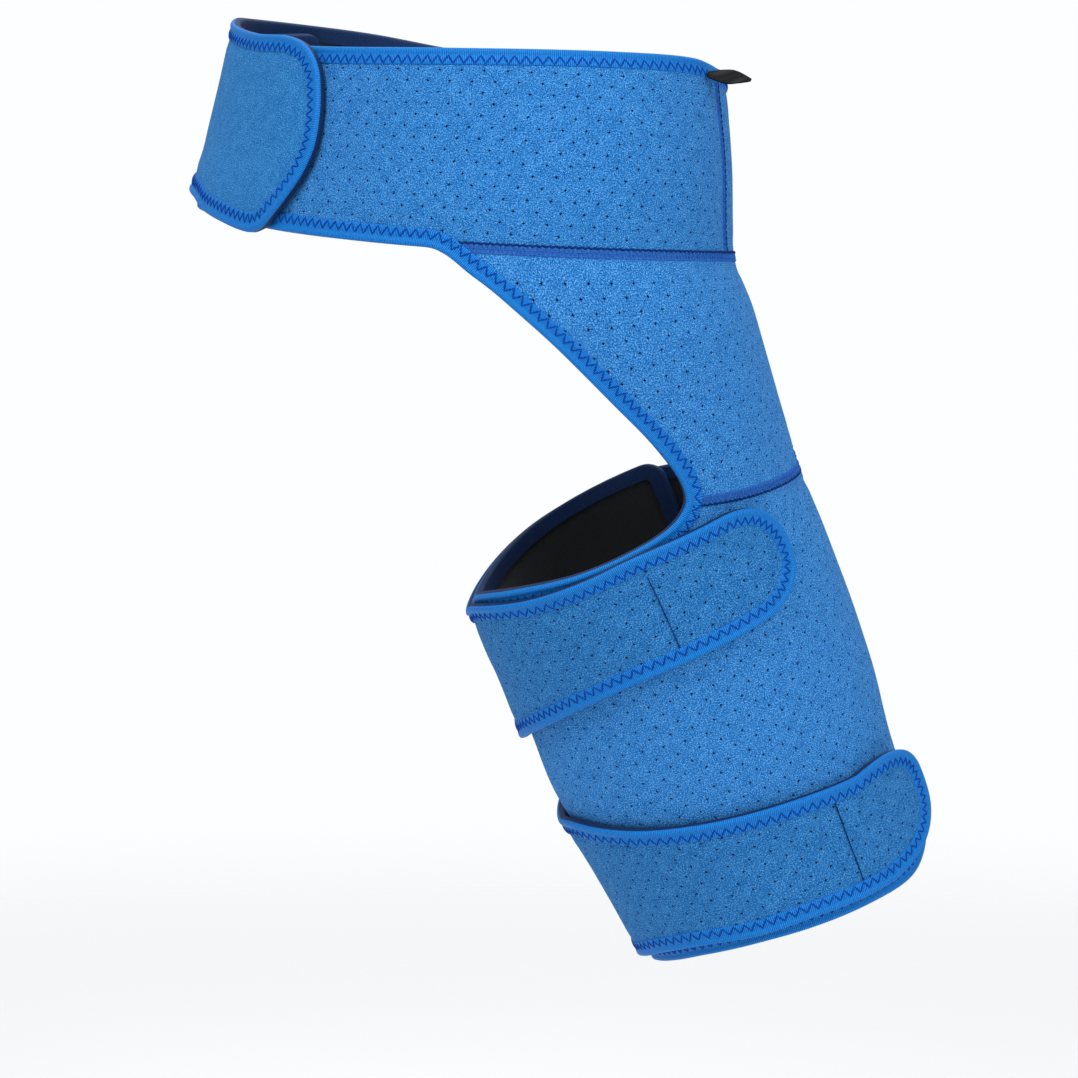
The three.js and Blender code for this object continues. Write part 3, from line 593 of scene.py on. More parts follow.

# %% [markdown]
# ## Binding tape and thread
# The edges are wrapped in a bright azure elastic tape. Its weft shows as fine ribs across it, just
# under a millimetre apart, and it shines a little more than the cloth. On the half of its width
# under the zigzag its colours lie further apart, darker at the low end: painted shade for the
# shallow pits the zigzag pulls. The sewing thread is a twisted polyester, painted a deeper blue
# than the tape as painted shade for the shadow lines along the zigzag.

# %% Tape and thread
RIB, TAPE_GRAIN, TWIST = 0.95 * MM, 1.1 * MM, 0.7 * MM
STITCHED, BLEND = 5.6, 0.5  # millimetres of the tape's width under the zigzag, and their soft end


def tape_material(name, stitched_painted_shade, rim):
    material, tree, shader = new_material(name, Roughness=0.6, Sheen_Weight=0.02,
                                          Sheen_Roughness=0.4, Specular_IOR_Level=0.14)
    uv = cloth_place(tree)
    rib = add(tree, "ShaderNodeTexWave", {"Vector": uv},
              {"Scale": 2 / (RIB * WAVE_TURN), "Distortion": 0.5, "Detail": 1.0},
              wave_type="BANDS", bands_direction="X")
    grain = add(tree, "ShaderNodeTexNoise", {"Vector": uv},
                {"Scale": 1 / TAPE_GRAIN, "Detail": 2.0})
    both = add(tree, "ShaderNodeMix", {"A": rib.outputs["Fac"], "B": grain.outputs["Fac"]},
               {"Factor": 0.5}, data_type="FLOAT").outputs["Result"]
    across = add(tree, "ShaderNodeSeparateXYZ", {"Vector": uv}).outputs["Y"]
    # the half under the zigzag takes the ramp with the darker low end: painted shade of its pits
    smooth_rim = add(tree, "ShaderNodeMapRange", {"Value": across},
                     {"From Min": (STITCHED - BLEND) * MM, "From Max": (STITCHED + BLEND) * MM})
    colours = add(tree, "ShaderNodeMix", {"Factor": smooth_rim.outputs["Result"]},
                  data_type="RGBA")
    for socket, stops in ((6, stitched_painted_shade), (7, rim)):
        tree.links.new(ramp(tree, both, list(zip((0.25, 0.5, 0.8), stops))),
                       colours.inputs[socket])
    tree.links.new(colours.outputs[2], shader.inputs["Base Color"])
    emboss(tree, shader, both, 0.5, 0.25)
    return material


def thread_material(name, dark, light):
    material, tree, shader = new_material(name, Roughness=0.75, Specular_IOR_Level=0.08)
    twist = add(tree, "ShaderNodeTexNoise", {"Vector": object_place(tree)}, {"Scale": 1 / TWIST})
    tint(tree, shader, twist.outputs["Fac"], [(0.35, dark), (0.65, light)])
    return material


binding_tape = tape_material("woven_elastic_binding", ("044692", "0866BE", "1C8AD8"),
                             ("044E98", "0666B8", "1A88D4"))
# painted shade: a navy copy of the tape for its inner side and the outer face of its fold
tape_inside_painted_shade = tape_material("woven_elastic_inside_painted_shade", ("0A1C3C", "10284F", "183868"),
                            ("0A1C3C", "10284F", "183868"))
# painted shade: the zigzag thread is darker than the tape to stand for the shadow lines round it
binding_thread_painted_shade = thread_material("binding_thread_painted_shade", "003078", "0648A0")
seam_thread = thread_material("flatlock_thread", "1E50A0", "3470BC")
dark_thread = thread_material("navy_lockstitch_thread", "001C4C", "043070")

# %% [markdown]
# ## A flat pattern for each panel
# Cloth is cut flat, so the panels are laid out flat too: across is the length round the form from
# a middle line, and down is the length along it. A table of these lengths turns a place on the
# form into a place on the flat cloth, and a few steps of Newton's method turn it back.

# %% Flat pattern
LENGTH_STEP = 2.0  # millimetres between the rows of the table
ROUND_MARGIN, DOWN_MARGIN = 6, 12  # how far the table goes on past the outline
NEWTON_STEPS, LEAST_DEGREE = 14, 0.3  # least length of a degree that a step divides by
INSIDE_TABLE = 1.001  # keeps a place short of the table's last row


def flat_pattern(outline, middle, height):
    (first, top), (last, bottom) = outline.min(0), outline.max(0)
    around = np.arange(first - ROUND_MARGIN, last + ROUND_MARGIN + 1)
    down = np.arange(top - DOWN_MARGIN, bottom + DOWN_MARGIN + LENGTH_STEP, LENGTH_STEP)
    grid = skin(around[None, :], down[:, None], height)
    across = np.zeros(grid.shape[:2])
    across[:, 1:] = np.cumsum(np.linalg.norm(np.diff(grid, axis=1), axis=2), axis=1)
    across -= np.array([np.interp(middle, around, row) for row in across])[:, None]
    steps = np.linalg.norm(np.diff(skin(middle, down, height), axis=0), axis=1)
    length = np.concatenate([[0], np.cumsum(steps)])

    def across_at(a, d):
        i = np.clip(a - around[0], 0, len(around) - INSIDE_TABLE)
        j = np.clip((d - down[0]) / LENGTH_STEP, 0, len(down) - INSIDE_TABLE)
        p, q = i.astype(int), j.astype(int)
        i, j = i - p, j - q
        return ((across[q, p] * (1 - i) + across[q, p + 1] * i) * (1 - j)
                + (across[q + 1, p] * (1 - i) + across[q + 1, p + 1] * i) * j)

    def to_flat(places):
        a, d = places[:, 0], places[:, 1]
        return np.stack([across_at(a, d), -np.interp(d, down, length)], 1)

    def to_form(flat):
        d = np.interp(-flat[:, 1], length, down)
        a = np.full(len(flat), float(middle))
        for _ in range(NEWTON_STEPS):
            per_degree = np.maximum(across_at(a + 0.5, d) - across_at(a - 0.5, d), LEAST_DEGREE)
            a = np.clip(a + (flat[:, 0] - across_at(a, d)) / per_degree, around[0], around[-1])
        return a, d

    return to_flat, to_form


# %% [markdown]
# ## Inside or outside a cut line
# Cutting the cloth to its outline needs two questions answered for every mesh point: is it inside
# the line, and how far away is the nearest point of the line.

# %% Cut line helpers
def inside(points, outline):
    x, y = points.T
    odd = np.zeros(len(points), bool)
    for (x0, y0), (x1, y1) in zip(outline, np.roll(outline, -1, axis=0)):
        crosses = (y0 > y) != (y1 > y)
        odd ^= crosses & (x < (x1 - x0) * (y - y0) / (y1 - y0 + 1e-12) + x0)
    return odd


def nearest(points, outline):
    best, feet = np.full(len(points), np.inf), points.copy()
    for a, b in zip(outline, np.roll(outline, -1, axis=0)):
        run = b - a
        share = np.clip(((points - a) @ run) / max(run @ run, 1e-9), 0, 1)
        foot = a + share[:, None] * run
        gap = np.linalg.norm(points - foot, axis=1)
        closer = gap < best
        best[closer], feet[closer] = gap[closer], foot[closer]
    return best, feet


def flat_area(outline):
    x, y = outline.T
    return abs(np.dot(x, np.roll(y, -1)) - np.dot(y, np.roll(x, -1))) / 2


# %% [markdown]
# ## Cutting and punching
# The cloth starts as a grid whose cells are a quarter of the punching pattern. Faces outside the
# cut line are deleted and the ragged rim is pulled onto the line. The punch pattern is staggered:
# holes 11.9 mm apart in a row, rows 5.9 mm apart. Each hole is a grid point whose corner is
# bevelled into a small round face, which is then extruded down to the lining.

# %% Cut and punch
CELL = np.array([11.9 / 4, 11.8 / 4])
HOLE_RADIUS = 1.1
HOLE_MARGIN = 6.8  # holes nearer the cut line would be under the tape
PIT = 2.4  # a hole goes through face and foam and ends at the lining
RIM = 1.05  # points within this many radii are the rim of a hole
MERGE_FLAT, MERGE_WORN = 0.12, 0.02  # points nearer than this become one
FAR = 99.0  # stands for a place with no hole near it


def read_points(piece):
    points = np.empty(len(piece.data.vertices) * 3)
    piece.data.vertices.foreach_get("co", points)
    return points.reshape(-1, 3)


def write_points(piece, points):
    piece.data.vertices.foreach_set("co", np.ascontiguousarray(points, np.float32).ravel())
    piece.data.update()


def select_only(piece):
    bpy.ops.object.select_all(action="DESELECT")
    bpy.context.view_layer.objects.active = piece
    piece.select_set(True)


def edit_selected(piece, kind, chosen, *operators):
    """Selects the chosen points or faces of a piece and runs edit-mode operators on them."""
    select_only(piece)
    bpy.context.tool_settings.mesh_select_mode = (kind == "VERT", False, kind == "FACE")
    for part in (piece.data.vertices, piece.data.edges, piece.data.polygons):
        part.foreach_set("select", np.zeros(len(part), bool))
    part = piece.data.vertices if kind == "VERT" else piece.data.polygons
    part.foreach_set("select", chosen)
    bpy.ops.object.mode_set(mode="EDIT")
    for operator in operators:
        operator()
    bpy.ops.object.mode_set(mode="OBJECT")


def face_corners(piece):
    totals = np.empty(len(piece.data.polygons), int)
    piece.data.polygons.foreach_get("loop_total", totals)
    corners = np.empty(totals.sum(), int)
    piece.data.loops.foreach_get("vertex_index", corners)
    return totals, corners


def marked_corners(piece, marks):
    """How many corners each face has, and how many of them are marked points."""
    totals, corners = face_corners(piece)
    starts = np.concatenate([[0], np.cumsum(totals)[:-1]])
    return totals, np.add.reduceat(marks[corners].astype(int), starts)


def all_of_face(piece, marks):
    totals, marked = marked_corners(piece, marks)
    return marked == totals


def merge_near(piece, threshold):
    edit_selected(piece, "VERT", np.ones(len(piece.data.vertices), bool),
                  lambda: bpy.ops.mesh.remove_doubles(threshold=threshold))


def lay_flat(piece, flat):
    write_points(piece, np.column_stack([flat, 0 * flat[:, 0]]))


def cut_cloth(name, outline, punched):
    first = np.floor(outline.min(0) / CELL)
    count = (np.ceil(outline.max(0) / CELL) - first).astype(int)
    bpy.ops.object.select_all(action="DESELECT")
    bpy.ops.mesh.primitive_grid_add(
        x_subdivisions=int(count[0]), y_subdivisions=int(count[1]), size=1)
    piece = bpy.context.object
    piece.name = piece.data.name = name
    index = np.rint((read_points(piece)[:, :2] + 0.5) * count) + first
    flat = index * CELL
    lay_flat(piece, flat)
    outside = ~inside(flat, outline)
    edit_selected(piece, "FACE", all_of_face(piece, outside),
                  lambda: bpy.ops.mesh.delete(type="FACE"))
    flat = read_points(piece)[:, :2]
    gap, feet = nearest(flat, outline)
    outside = ~inside(flat, outline)
    index = np.rint(flat / CELL).astype(int)
    flat[outside] = feet[outside]
    lay_flat(piece, flat)
    holes = np.zeros((0, 2))
    if punched:
        on_row = (index % 4 == 0).all(1) | (index % 4 == 2).all(1)
        chosen = on_row & ~outside & (gap > HOLE_MARGIN)
        holes = flat[chosen]
        edit_selected(piece, "VERT", chosen, lambda: bpy.ops.mesh.bevel(
            offset=HOLE_RADIUS, affect="VERTICES", segments=2, profile=0.5))
        near_hole = hole_distance(read_points(piece)[:, :2], holes) < HOLE_RADIUS * RIM
        edit_selected(
            piece, "FACE", all_of_face(piece, near_hole),
            bpy.ops.mesh.dissolve_faces,
            lambda: bpy.ops.mesh.extrude_region_move(
                TRANSFORM_OT_translate={"value": (0, 0, -PIT)}))
    merge_near(piece, MERGE_FLAT)
    print(name, len(piece.data.vertices), "points,", len(holes), "holes")
    return piece, holes


def hole_distance(points, holes):
    """Distance to the nearest hole, found on the staggered lattice that the holes lie on."""
    if not len(holes):
        return np.full(len(points), FAR)
    pitch = CELL * 4
    found = []
    for shift in (0 * pitch, pitch / 2):
        centre = np.rint((points - shift) / pitch) * pitch + shift
        found.append((np.linalg.norm(points - centre, axis=1), centre))
    (near, a), (far, b) = found
    centre = np.where((near < far)[:, None], a, b)
    real = {tuple(row) for row in np.rint(holes / CELL).astype(int)}
    is_hole = np.array([tuple(row) in real for row in np.rint(centre / CELL).astype(int)])
    return np.where(is_hole, np.minimum(near, far), FAR)


# %% [markdown]
# ## From flat cloth to worn panel
# The cut cloth is wrapped: each point goes to its place on the form, at the height of the outer
# face. Tape and seams press the foam flat at the edges and it swells beside them, and each punched
# hole has a small dimple. Solidify gives the thickness, and the inner face is then laid exactly on
# its layer, with the lining's material there and foam in the holes.

# %% Wrap and thicken
PUFF, PUFF_START, PUFF_SPAN = 0.6, 6.5, 9.0
DIMPLE, DIMPLE_SIZE = 0.35, 1.6
WAVE = 0.25
CREASE, CREASE_SIZE, CREASE_CALM = 0.55, 2.2, 7  # depth, half width, and how far it stills waves


def swell(edge_gap):
    return PUFF * ease((edge_gap - PUFF_START) / PUFF_SPAN)


def soft_waves(flat):
    """The unevenness of worn cloth, mixed from waves of 11 to 23 mm for each radian."""
    x, y = flat.T
    return WAVE * (0.5 * np.sin(x / 11 + 1.3 * np.sin(y / 19)) * np.sin(y / 15 + 0.7)
                   + 0.5 * np.sin((x + 1.7 * y) / 23 + 2.1))


def give_uv(piece, flat):
    layer = piece.data.uv_layers.get("cloth") or piece.data.uv_layers.new(name="cloth")
    piece.data.uv_layers.active = layer
    corners = face_corners(piece)[1]
    layer.data.foreach_set("uv", (flat[corners] * MM).astype(np.float32).ravel())


def smooth_shade(piece, degrees=40):
    select_only(piece)
    bpy.ops.object.shade_smooth_by_angle(angle=math.radians(degrees))


def thicken(piece, thickness, offset, **settings):
    solidify = piece.modifiers.new("thickness", "SOLIDIFY")
    solidify.thickness, solidify.offset = thickness * MM, offset
    for setting, value in settings.items():
        setattr(solidify, setting, value)
    bpy.ops.object.modifier_apply(modifier="thickness")


def worn_panel(name, outline, middle, layer, materials, punched=True, thickness=FABRIC,
               crease=None):
    inner_height = float(layer(np.array(middle), np.array(0.0)))
    to_flat, to_form = flat_pattern(outline, middle, inner_height + thickness / 2)
    cut_line = to_flat(outline)
    piece, holes = cut_cloth(name, cut_line, punched)
    flat, pit = read_points(piece)[:, :2], read_points(piece)[:, 2] < -PIT / 2
    around, down = to_form(flat)
    low = layer(around, down)
    gap = nearest(flat, cut_line)[0]
    waves = np.minimum(swell(gap) / PUFF, 1) * soft_waves(flat)
    if crease is not None:
        off = (around - crease) * np.linalg.norm(directions(around, down)[0], axis=1)
        waves *= 1 - np.exp(-(off / CREASE_CALM) ** 2)
        waves -= CREASE * np.exp(-(off / CREASE_SIZE) ** 2)
    high = low + thickness + swell(gap) + waves
    high -= DIMPLE * np.exp(-(hole_distance(flat, holes) / DIMPLE_SIZE) ** 2)
    high[pit] = low[pit] + thickness - PIT
    outer = skin(around, down, high) * MM
    write_points(piece, outer)
    for each in materials:
        piece.data.materials.append(each)
    in_pit = marked_corners(piece, pit)[1] > 0
    piece.data.polygons.foreach_set("material_index", np.where(in_pit, 2, 0).astype(np.int32))
    give_uv(piece, flat)
    count = len(flat)
    thicken(piece, thickness, -1, material_offset=1, material_offset_rim=2)
    points = read_points(piece)
    kept_first = np.abs(points[:count] - outer).max() < np.abs(points[count:] - outer).max()
    inner = skin(around, down, low) * MM
    write_points(piece, np.concatenate([outer, inner] if kept_first else [inner, outer]))
    merge_near(piece, MERGE_WORN * MM)
    smooth_shade(piece)
    size = (cut_line.max(0) - cut_line.min(0)) * MM
    area = flat_area(cut_line) * MM ** 2
    print(name, "flat", size.round(4), "area", round(area, 5), "faces",
          len(piece.data.polygons))
    return piece, size, area


# %% [markdown]
# ## The fabric panels
# Seven pieces are cut from laminate, each with the flat size it was cut to. The flap at the belt's
# end is the only one without holes.

# %% Cut the panels
panels = {}
for name, outline, middle, layer, face, punched, crease in [
    ("belt_back", outline_of(belt_back_columns), -60, first_layer, belt_laminate, True, None),
    ("belt_front", outline_of(belt_front_columns), 105, belt_layer, belt_laminate, True, None),
    ("closure_flap", outline_of(flap_columns), 232, second_layer, plain_laminate, False, None),
    ("hip_panel", hip_outline, 22, first_layer, leg_laminate_painted_light, True, None),
    ("thigh_wrap", outline_of(wrap_columns), -35, wrap_layer, leg_laminate_painted_light, True, None),
    ("upper_strap", outline_of(upper_strap_columns), 270, second_layer, strap_laminate_painted_shade, True,
     UPPER_HOOK_START),
    ("lower_strap", outline_of(lower_strap_columns), 270, lower_tab_layer, strap_laminate_painted_shade, True,
     LOWER_HOOK_START),
]:
    panels[name] = worn_panel(name + "_cloth", outline, middle, layer,
                              [face, lining, foam_core, lining], punched, crease=crease)

# %% [markdown]
# ## Sweeping along an edge
# Tape, seams and thread all follow a line on the form. A station on the line has a direction, the
# form's normal, and the outward side. A step outward is turned into degrees and millimetres on the
# form, so that a wide tape still hugs the curve.

# %% Sweeping helpers
STATION = 2.0  # millimetres between the stations of a tape or seam
TUBE_SIDES = 5


def evenly(line, spacing, multiple=1):
    points = form(line[:, 0], line[:, 1])
    total = np.concatenate([[0], np.cumsum(np.linalg.norm(np.diff(points, axis=0), axis=1))])
    count = max(multiple, int(round(total[-1] / spacing / multiple)) * multiple)
    at = np.linspace(0, total[-1], count + 1)
    return np.stack([np.interp(at, total, line[:, k]) for k in (0, 1)], 1), at


def beside(line, out, up, layer):
    """Points at a distance outward from the line and a height above the layer's inner face."""
    points = form(line[:, 0], line[:, 1])
    run = unit(np.diff(points, axis=0))
    forward = unit(np.concatenate([run[:1], run]) + np.concatenate([run, run[-1:]]))
    per_degree, per_down, normal = directions(line[:, 0], line[:, 1])
    outward = unit(np.cross(forward, normal)) * np.reshape(out, (-1, 1))
    uu, vv = (per_degree ** 2).sum(1), (per_down ** 2).sum(1)
    uv = (per_degree * per_down).sum(1)
    a, b = (per_degree * outward).sum(1), (per_down * outward).sum(1)
    scale = 1 / (uu * vv - uv * uv)
    around = line[:, 0] + (a * vv - b * uv) * scale
    down = line[:, 1] + (b * uu - a * uv) * scale
    return skin(around, down, layer(around, down) + up), normal


def faces_between(count, size, across):
    """Faces between rows of points, this many across each row."""
    i, k = np.meshgrid(np.arange(count - 1), np.arange(across), indexing="ij")
    a, b = i * size + k, i * size + (k + 1) % size
    return np.stack([a, b, b + size, a + size], -1).reshape(-1, 4).tolist()


def loft(rings):
    """A closed skin over rings of points."""
    count, size = rings.shape[:2]
    faces = faces_between(count, size, size)
    faces.append(list(range(size))[::-1])
    faces.append([(count - 1) * size + k for k in range(size)])
    return rings.reshape(-1, 3), faces


def tube(points, normals, radius):
    """A round thread along points."""
    run = unit(np.gradient(points, axis=0))
    side = unit(np.cross(run, normals))
    up = np.cross(side, run)
    angle = np.arange(TUBE_SIDES) * 2 * np.pi / TUBE_SIDES
    ring = (np.cos(angle)[None, :, None] * side[:, None]
            + np.sin(angle)[None, :, None] * up[:, None])
    return loft(points[:, None] + radius * ring)


def build(name, parts, materials, coordinates):
    """One mesh from (points, faces) parts in millimetres, a material for a part or its faces."""
    points, faces, kinds, start = [], [], [], 0
    for (some, their), kind in parts:
        points.append(some)
        faces += [[k + start for k in face] for face in their]
        kinds += np.broadcast_to(kind, len(their)).tolist()
        start += len(some)
    mesh = bpy.data.meshes.new(name)
    mesh.from_pydata(np.concatenate(points) * MM, [], faces)
    for each in materials:
        mesh.materials.append(each)
    mesh.polygons.foreach_set("material_index", kinds)
    piece = bpy.data.objects.new(name, mesh)
    bpy.context.scene.collection.objects.link(piece)
    give_uv(piece, coordinates)
    edit_selected(piece, "FACE", np.ones(len(faces), bool),
                  lambda: bpy.ops.mesh.normals_make_consistent(inside=False))
    smooth_shade(piece, 50)
    return piece


# %% [markdown]
# ## Binding tape
# The tape is folded over the cut edge. Its fold is a round rim, its flat part lies pressed on the
# cloth, and a zigzag stitch holds it down: one stitch every 5.5 mm, from the middle of the tape to
# its inner edge. The section is swept along the edge every 2 mm and the zigzag is laid on it as
# real thread, sunk at the needle holes and proud between them. The side worn inwards and the outer
# face of the fold below its rim are painted navy: painted shade, a dark line along the edge.

# %% Bind the edges
TAPE_SECTION = np.array([
    (-8.1, 2.95), (-8.1, 3.35), (-7.7, 3.72), (-6.9, 3.86), (-5.2, 3.9), (-3.6, 3.8),
    (-2.8, 3.68), (-2.2, 3.95), (-1.4, 4.35), (-0.5, 4.42), (0.3, 4.15), (0.85, 3.5),
    (1.05, 2.5), (1.05, 0.6), (0.8, -0.5), (0.2, -1.1), (-0.8, -1.2), (-7.8, -1.2), (-8.0, -0.9),
    (-7.8, -0.6), (0.0, -0.6), (0.3, 0.2), (0.35, 2.8), (-0.1, 3.25),
])
# these faces take the navy tape: painted shade for the shadow along the tape's edge
INNER_SIDE_PAINTED_SHADE = range(12, 18)  # stretches of the section that face inwards
ZIGZAG, ZIGZAG_INNER, ZIGZAG_OUTER = 5.5, -7.6, -3.2
ZIGZAG_POINTS, ZIGZAG_PROUD, THREAD = 8, 0.25, 0.5


def tape_top(out):
    top = TAPE_SECTION[1:12]
    return np.interp(out, top[:, 0], top[:, 1])


def run_past(line):
    """The same line, a little longer at both ends, so that tapes that meet leave no gap."""
    line = np.array(line, float)
    for end, following in ((0, 1), (-1, -2)):
        gap = np.linalg.norm(form(*line[end]) - form(*line[following]))
        line[end] -= (line[following] - line[end]) * TAPE_PAST / gap
    return line


def softened(line, rounds=6):
    """The same line with its sharp turns rounded, as elastic tape takes them."""
    line = evenly(np.array(line, float), STATION)[0]
    for _ in range(rounds):
        line[1:-1] = (line[:-2] + 2 * line[1:-1] + line[2:]) / 4
    return line


def along_and_across(along, across):
    """Flat coordinates for rows of points."""
    return np.stack(np.broadcast_arrays(along[:, None], across[None, :]), -1).reshape(-1, 2)


def bound_edge(name, line, layer):
    line = run_past(line)
    stations, along = evenly(line, STATION)
    rings = np.stack([beside(stations, out, up, layer)[0] for out, up in TAPE_SECTION], 1)
    inner_side_painted_shade = np.isin(np.arange(len(TAPE_SECTION)), INNER_SIDE_PAINTED_SHADE)
    sides = np.append(np.tile(np.where(inner_side_painted_shade, 2, 0), len(stations) - 1), [0, 0])
    across = np.concatenate([[0], np.cumsum(
        np.linalg.norm(np.diff(TAPE_SECTION, axis=0), axis=1))])
    stitches, _ = evenly(line, ZIGZAG / ZIGZAG_POINTS, ZIGZAG_POINTS)
    phase = np.arange(len(stitches)) % ZIGZAG_POINTS / ZIGZAG_POINTS
    share = 1 - np.abs(2 * phase - 1)
    out = ZIGZAG_INNER + (ZIGZAG_OUTER - ZIGZAG_INNER) * share
    proud = ZIGZAG_PROUD * (np.sin(np.pi * (2 * phase % 1)) - 1)
    thread = tube(*beside(stitches, out, tape_top(out) + proud, layer), THREAD)
    return build(name, [(loft(rings), sides), (thread, 1)],
                 [binding_tape, binding_thread_painted_shade, tape_inside_painted_shade],
                 np.concatenate([along_and_across(along, across), np.zeros((len(thread[0]), 2))]))


FORK_INSET = 3  # the tape between the straps stops this far from them


def on(edge, start, end):
    around = round_trip(start, end)
    return np.stack([around, edge(around)], 1)


back_tops, back_bottoms = belt_back_columns[:, [0, 1]], belt_back_columns[:, [0, 2]]
wrap_tops, wrap_hem = wrap_columns[:, [0, 1]], wrap_columns[:, [0, 2]]
rear_part = wrap_tops[:, 0] < hip_rear[-1, 0] - BUTT
fork_high = float(upper_strap_bottom(STRAP_START)) + FORK_INSET
fork_low = float(lower_strap_top(STRAP_START)) - FORK_INSET
from_corner = slice(CORNER_POINTS - 1, None)
strap_line = {
    key: np.concatenate([
        columns[:, [0, 2]], end_line(columns[-1])[::-1], columns[::-1][:, [0, 1]],
    ])
    for key, columns in (("upper", upper_strap_columns), ("lower", lower_strap_columns),
                         ("flap", flap_columns))
}
edges = {
    "belt_back_binding": (np.concatenate([
        back_tops[::-1], end_line(belt_back_columns[0]), back_bottoms[:CORNER_POINTS],
    ]), first_layer),
    "rear_binding": (softened(np.concatenate([
        back_bottoms[from_corner][back_bottoms[from_corner, 0] < hip_rear[0, 0] - 1],
        hip_rear, wrap_tops[from_corner][rear_part[from_corner]][::-1],
    ])), first_layer),
    "hem_binding": (np.concatenate([
        wrap_tops[:CORNER_POINTS][::-1], end_line(wrap_columns[0]), wrap_hem,
    ]), wrap_layer),
    "flap_binding": (strap_line["flap"], second_layer),
    "belt_front_binding": (on(belt_front_top, FLAP_START - BUTT, BELT_JOIN + BUTT), belt_layer),
    "front_binding": (np.concatenate([
        on(wrap_top_front, STRAP_START, hip_front[-1, 0] + 0.5), hip_front[::-1],
        on(belt_front_bottom, hip_front[0, 0] + 1, FLAP_START - BUTT),
    ]), front_layer),
    "fork_binding": (np.array([[STRAP_START, fork_low], [STRAP_START, fork_high]]), wrap_layer),
    "upper_strap_binding": (strap_line["upper"], second_layer),
    "lower_strap_binding": (strap_line["lower"], lower_tab_layer),
}
bindings = {
    name: bound_edge(name + "_tape", line, layer) for name, (line, layer) in edges.items()
}
print({name: len(piece.data.polygons) for name, piece in bindings.items()})

# %% [markdown]
# ## Flatlock seams
# Belt, hip panel and thigh wrap are joined edge to edge by a flatlock: two cut edges butt together
# under a flat ladder of thread about 6 mm wide, with needle lines on both sides and the middle.
# One outer needle line is navy and hatched: the upper one at the belt, the lower one at the thigh.
# A low band carries the closely wound looper thread, and real threads run over it. The same
# seam joins the belt's two parts, the flap to the belt, and the straps to the wrap.

# %% Sew the panels together
SEAM_HALF, LADDER, LADDER_THREAD, NEEDLE_STEP = 2.7, 2.2, 0.26, 0.8
LADDER_OUT, LADDER_UP = np.array([-1.0, 0.0, 1.0, 0.0]), np.array([0.2, 0.42, 0.2, 0.42])
NEEDLE_UP = np.array([0.25, 0.6, 0.6, 0.25])
NEEDLE_SLANT = np.array([-0.3, -0.1, 0.2, 0.1])  # of the dark line, which also lies deeper
NEEDLE_SUNK = 0.3
NEEDLES = [(-2.3, 0.7, 1), (0.0, 0.22, 0), (2.1, 0.24, 0)]  # place, radius, dark or not
SEAM_SECTION = np.array([
    (-3.1, -0.5), (-2.9, 0.12), (-2.2, 0.3), (-0.5, 0.24), (0.0, 0.12), (0.5, 0.24), (2.2, 0.3),
    (2.9, 0.12), (3.1, -0.5),
])


def flatlock(name, line, layer):
    stations, along = evenly(line, STATION)
    rings = np.stack([beside(stations, out, FABRIC + up, layer)[0]
                      for out, up in SEAM_SECTION], 1)
    ladder, _ = evenly(line, LADDER / 4, 4)
    phase = np.arange(len(ladder)) % 4
    rungs = beside(ladder, SEAM_HALF * LADDER_OUT[phase], FABRIC + LADDER_UP[phase], layer)
    parts = [(loft(rings), 0), (tube(*rungs, LADDER_THREAD), 0)]
    needle, _ = evenly(line, NEEDLE_STEP, 4)
    phase = np.arange(len(needle)) % 4
    for out, radius, dark in NEEDLES:
        row = beside(needle, out + NEEDLE_SLANT[phase] * dark,
                     FABRIC + NEEDLE_UP[phase] - NEEDLE_SUNK * dark, layer)
        parts.append((tube(*row, radius), dark))
    thread_points = sum(len(points) for (points, faces), dark in parts[1:])
    return build(name, parts, [seam_thread, dark_thread], np.concatenate([
        along_and_across(along, SEAM_SECTION[:, 0]), np.zeros((thread_points, 2))]))


def upright(around, top, bottom, inset):
    """A line down from one edge to another that stops short of both."""
    return np.array([[around, float(top(around)) + inset],
                     [around, float(bottom(around)) - inset]])


BUTT_INSET, JOIN_INSET, JOIN_FOOT = 7, 4, 96.0  # where seams start and stop under the tapes
seam_lines = {
    "belt_seam": (on(lambda a: belt_bottom(a) + CLEARANCE / 2,
                     hip_rear[0, 0] + 1, hip_front[0, 0] - 1), first_layer),
    "thigh_seam": (on(lambda a: seam_down(a) + CLEARANCE / 2,
                      hip_front[-1, 0], hip_rear[-1, 0]), first_layer),
    "join_seam": (np.array([[BELT_JOIN, float(belt_back_top(BELT_JOIN)) + JOIN_INSET],
                            [BELT_JOIN, JOIN_FOOT]]), first_layer),
    "flap_seam": (upright(FLAP_START, belt_front_top, belt_front_bottom, BUTT_INSET),
                  belt_layer),
    "upper_strap_seam": (upright(STRAP_START, upper_strap_top, upper_strap_bottom, BUTT_INSET),
                         second_layer),
    "lower_strap_seam": (upright(STRAP_START, lower_strap_top, lower_strap_bottom, BUTT_INSET),
                         second_layer),
}
seams = {name: flatlock(name, line, layer) for name, (line, layer) in seam_lines.items()}
print({name: len(piece.data.polygons) for name, piece in seams.items()})

# %% [markdown]
# ## Stitch lines on the straps
# The hook patch behind each strap tab is sewn on, and its inner edge shows on the outside as one
# straight line of lockstitch in a shallow crease, from tape to tape.

# %% Strap stitches
STITCH, STITCH_POINTS, STITCH_PROUD, STITCH_THREAD = 2.6, 6, 0.3, 0.32


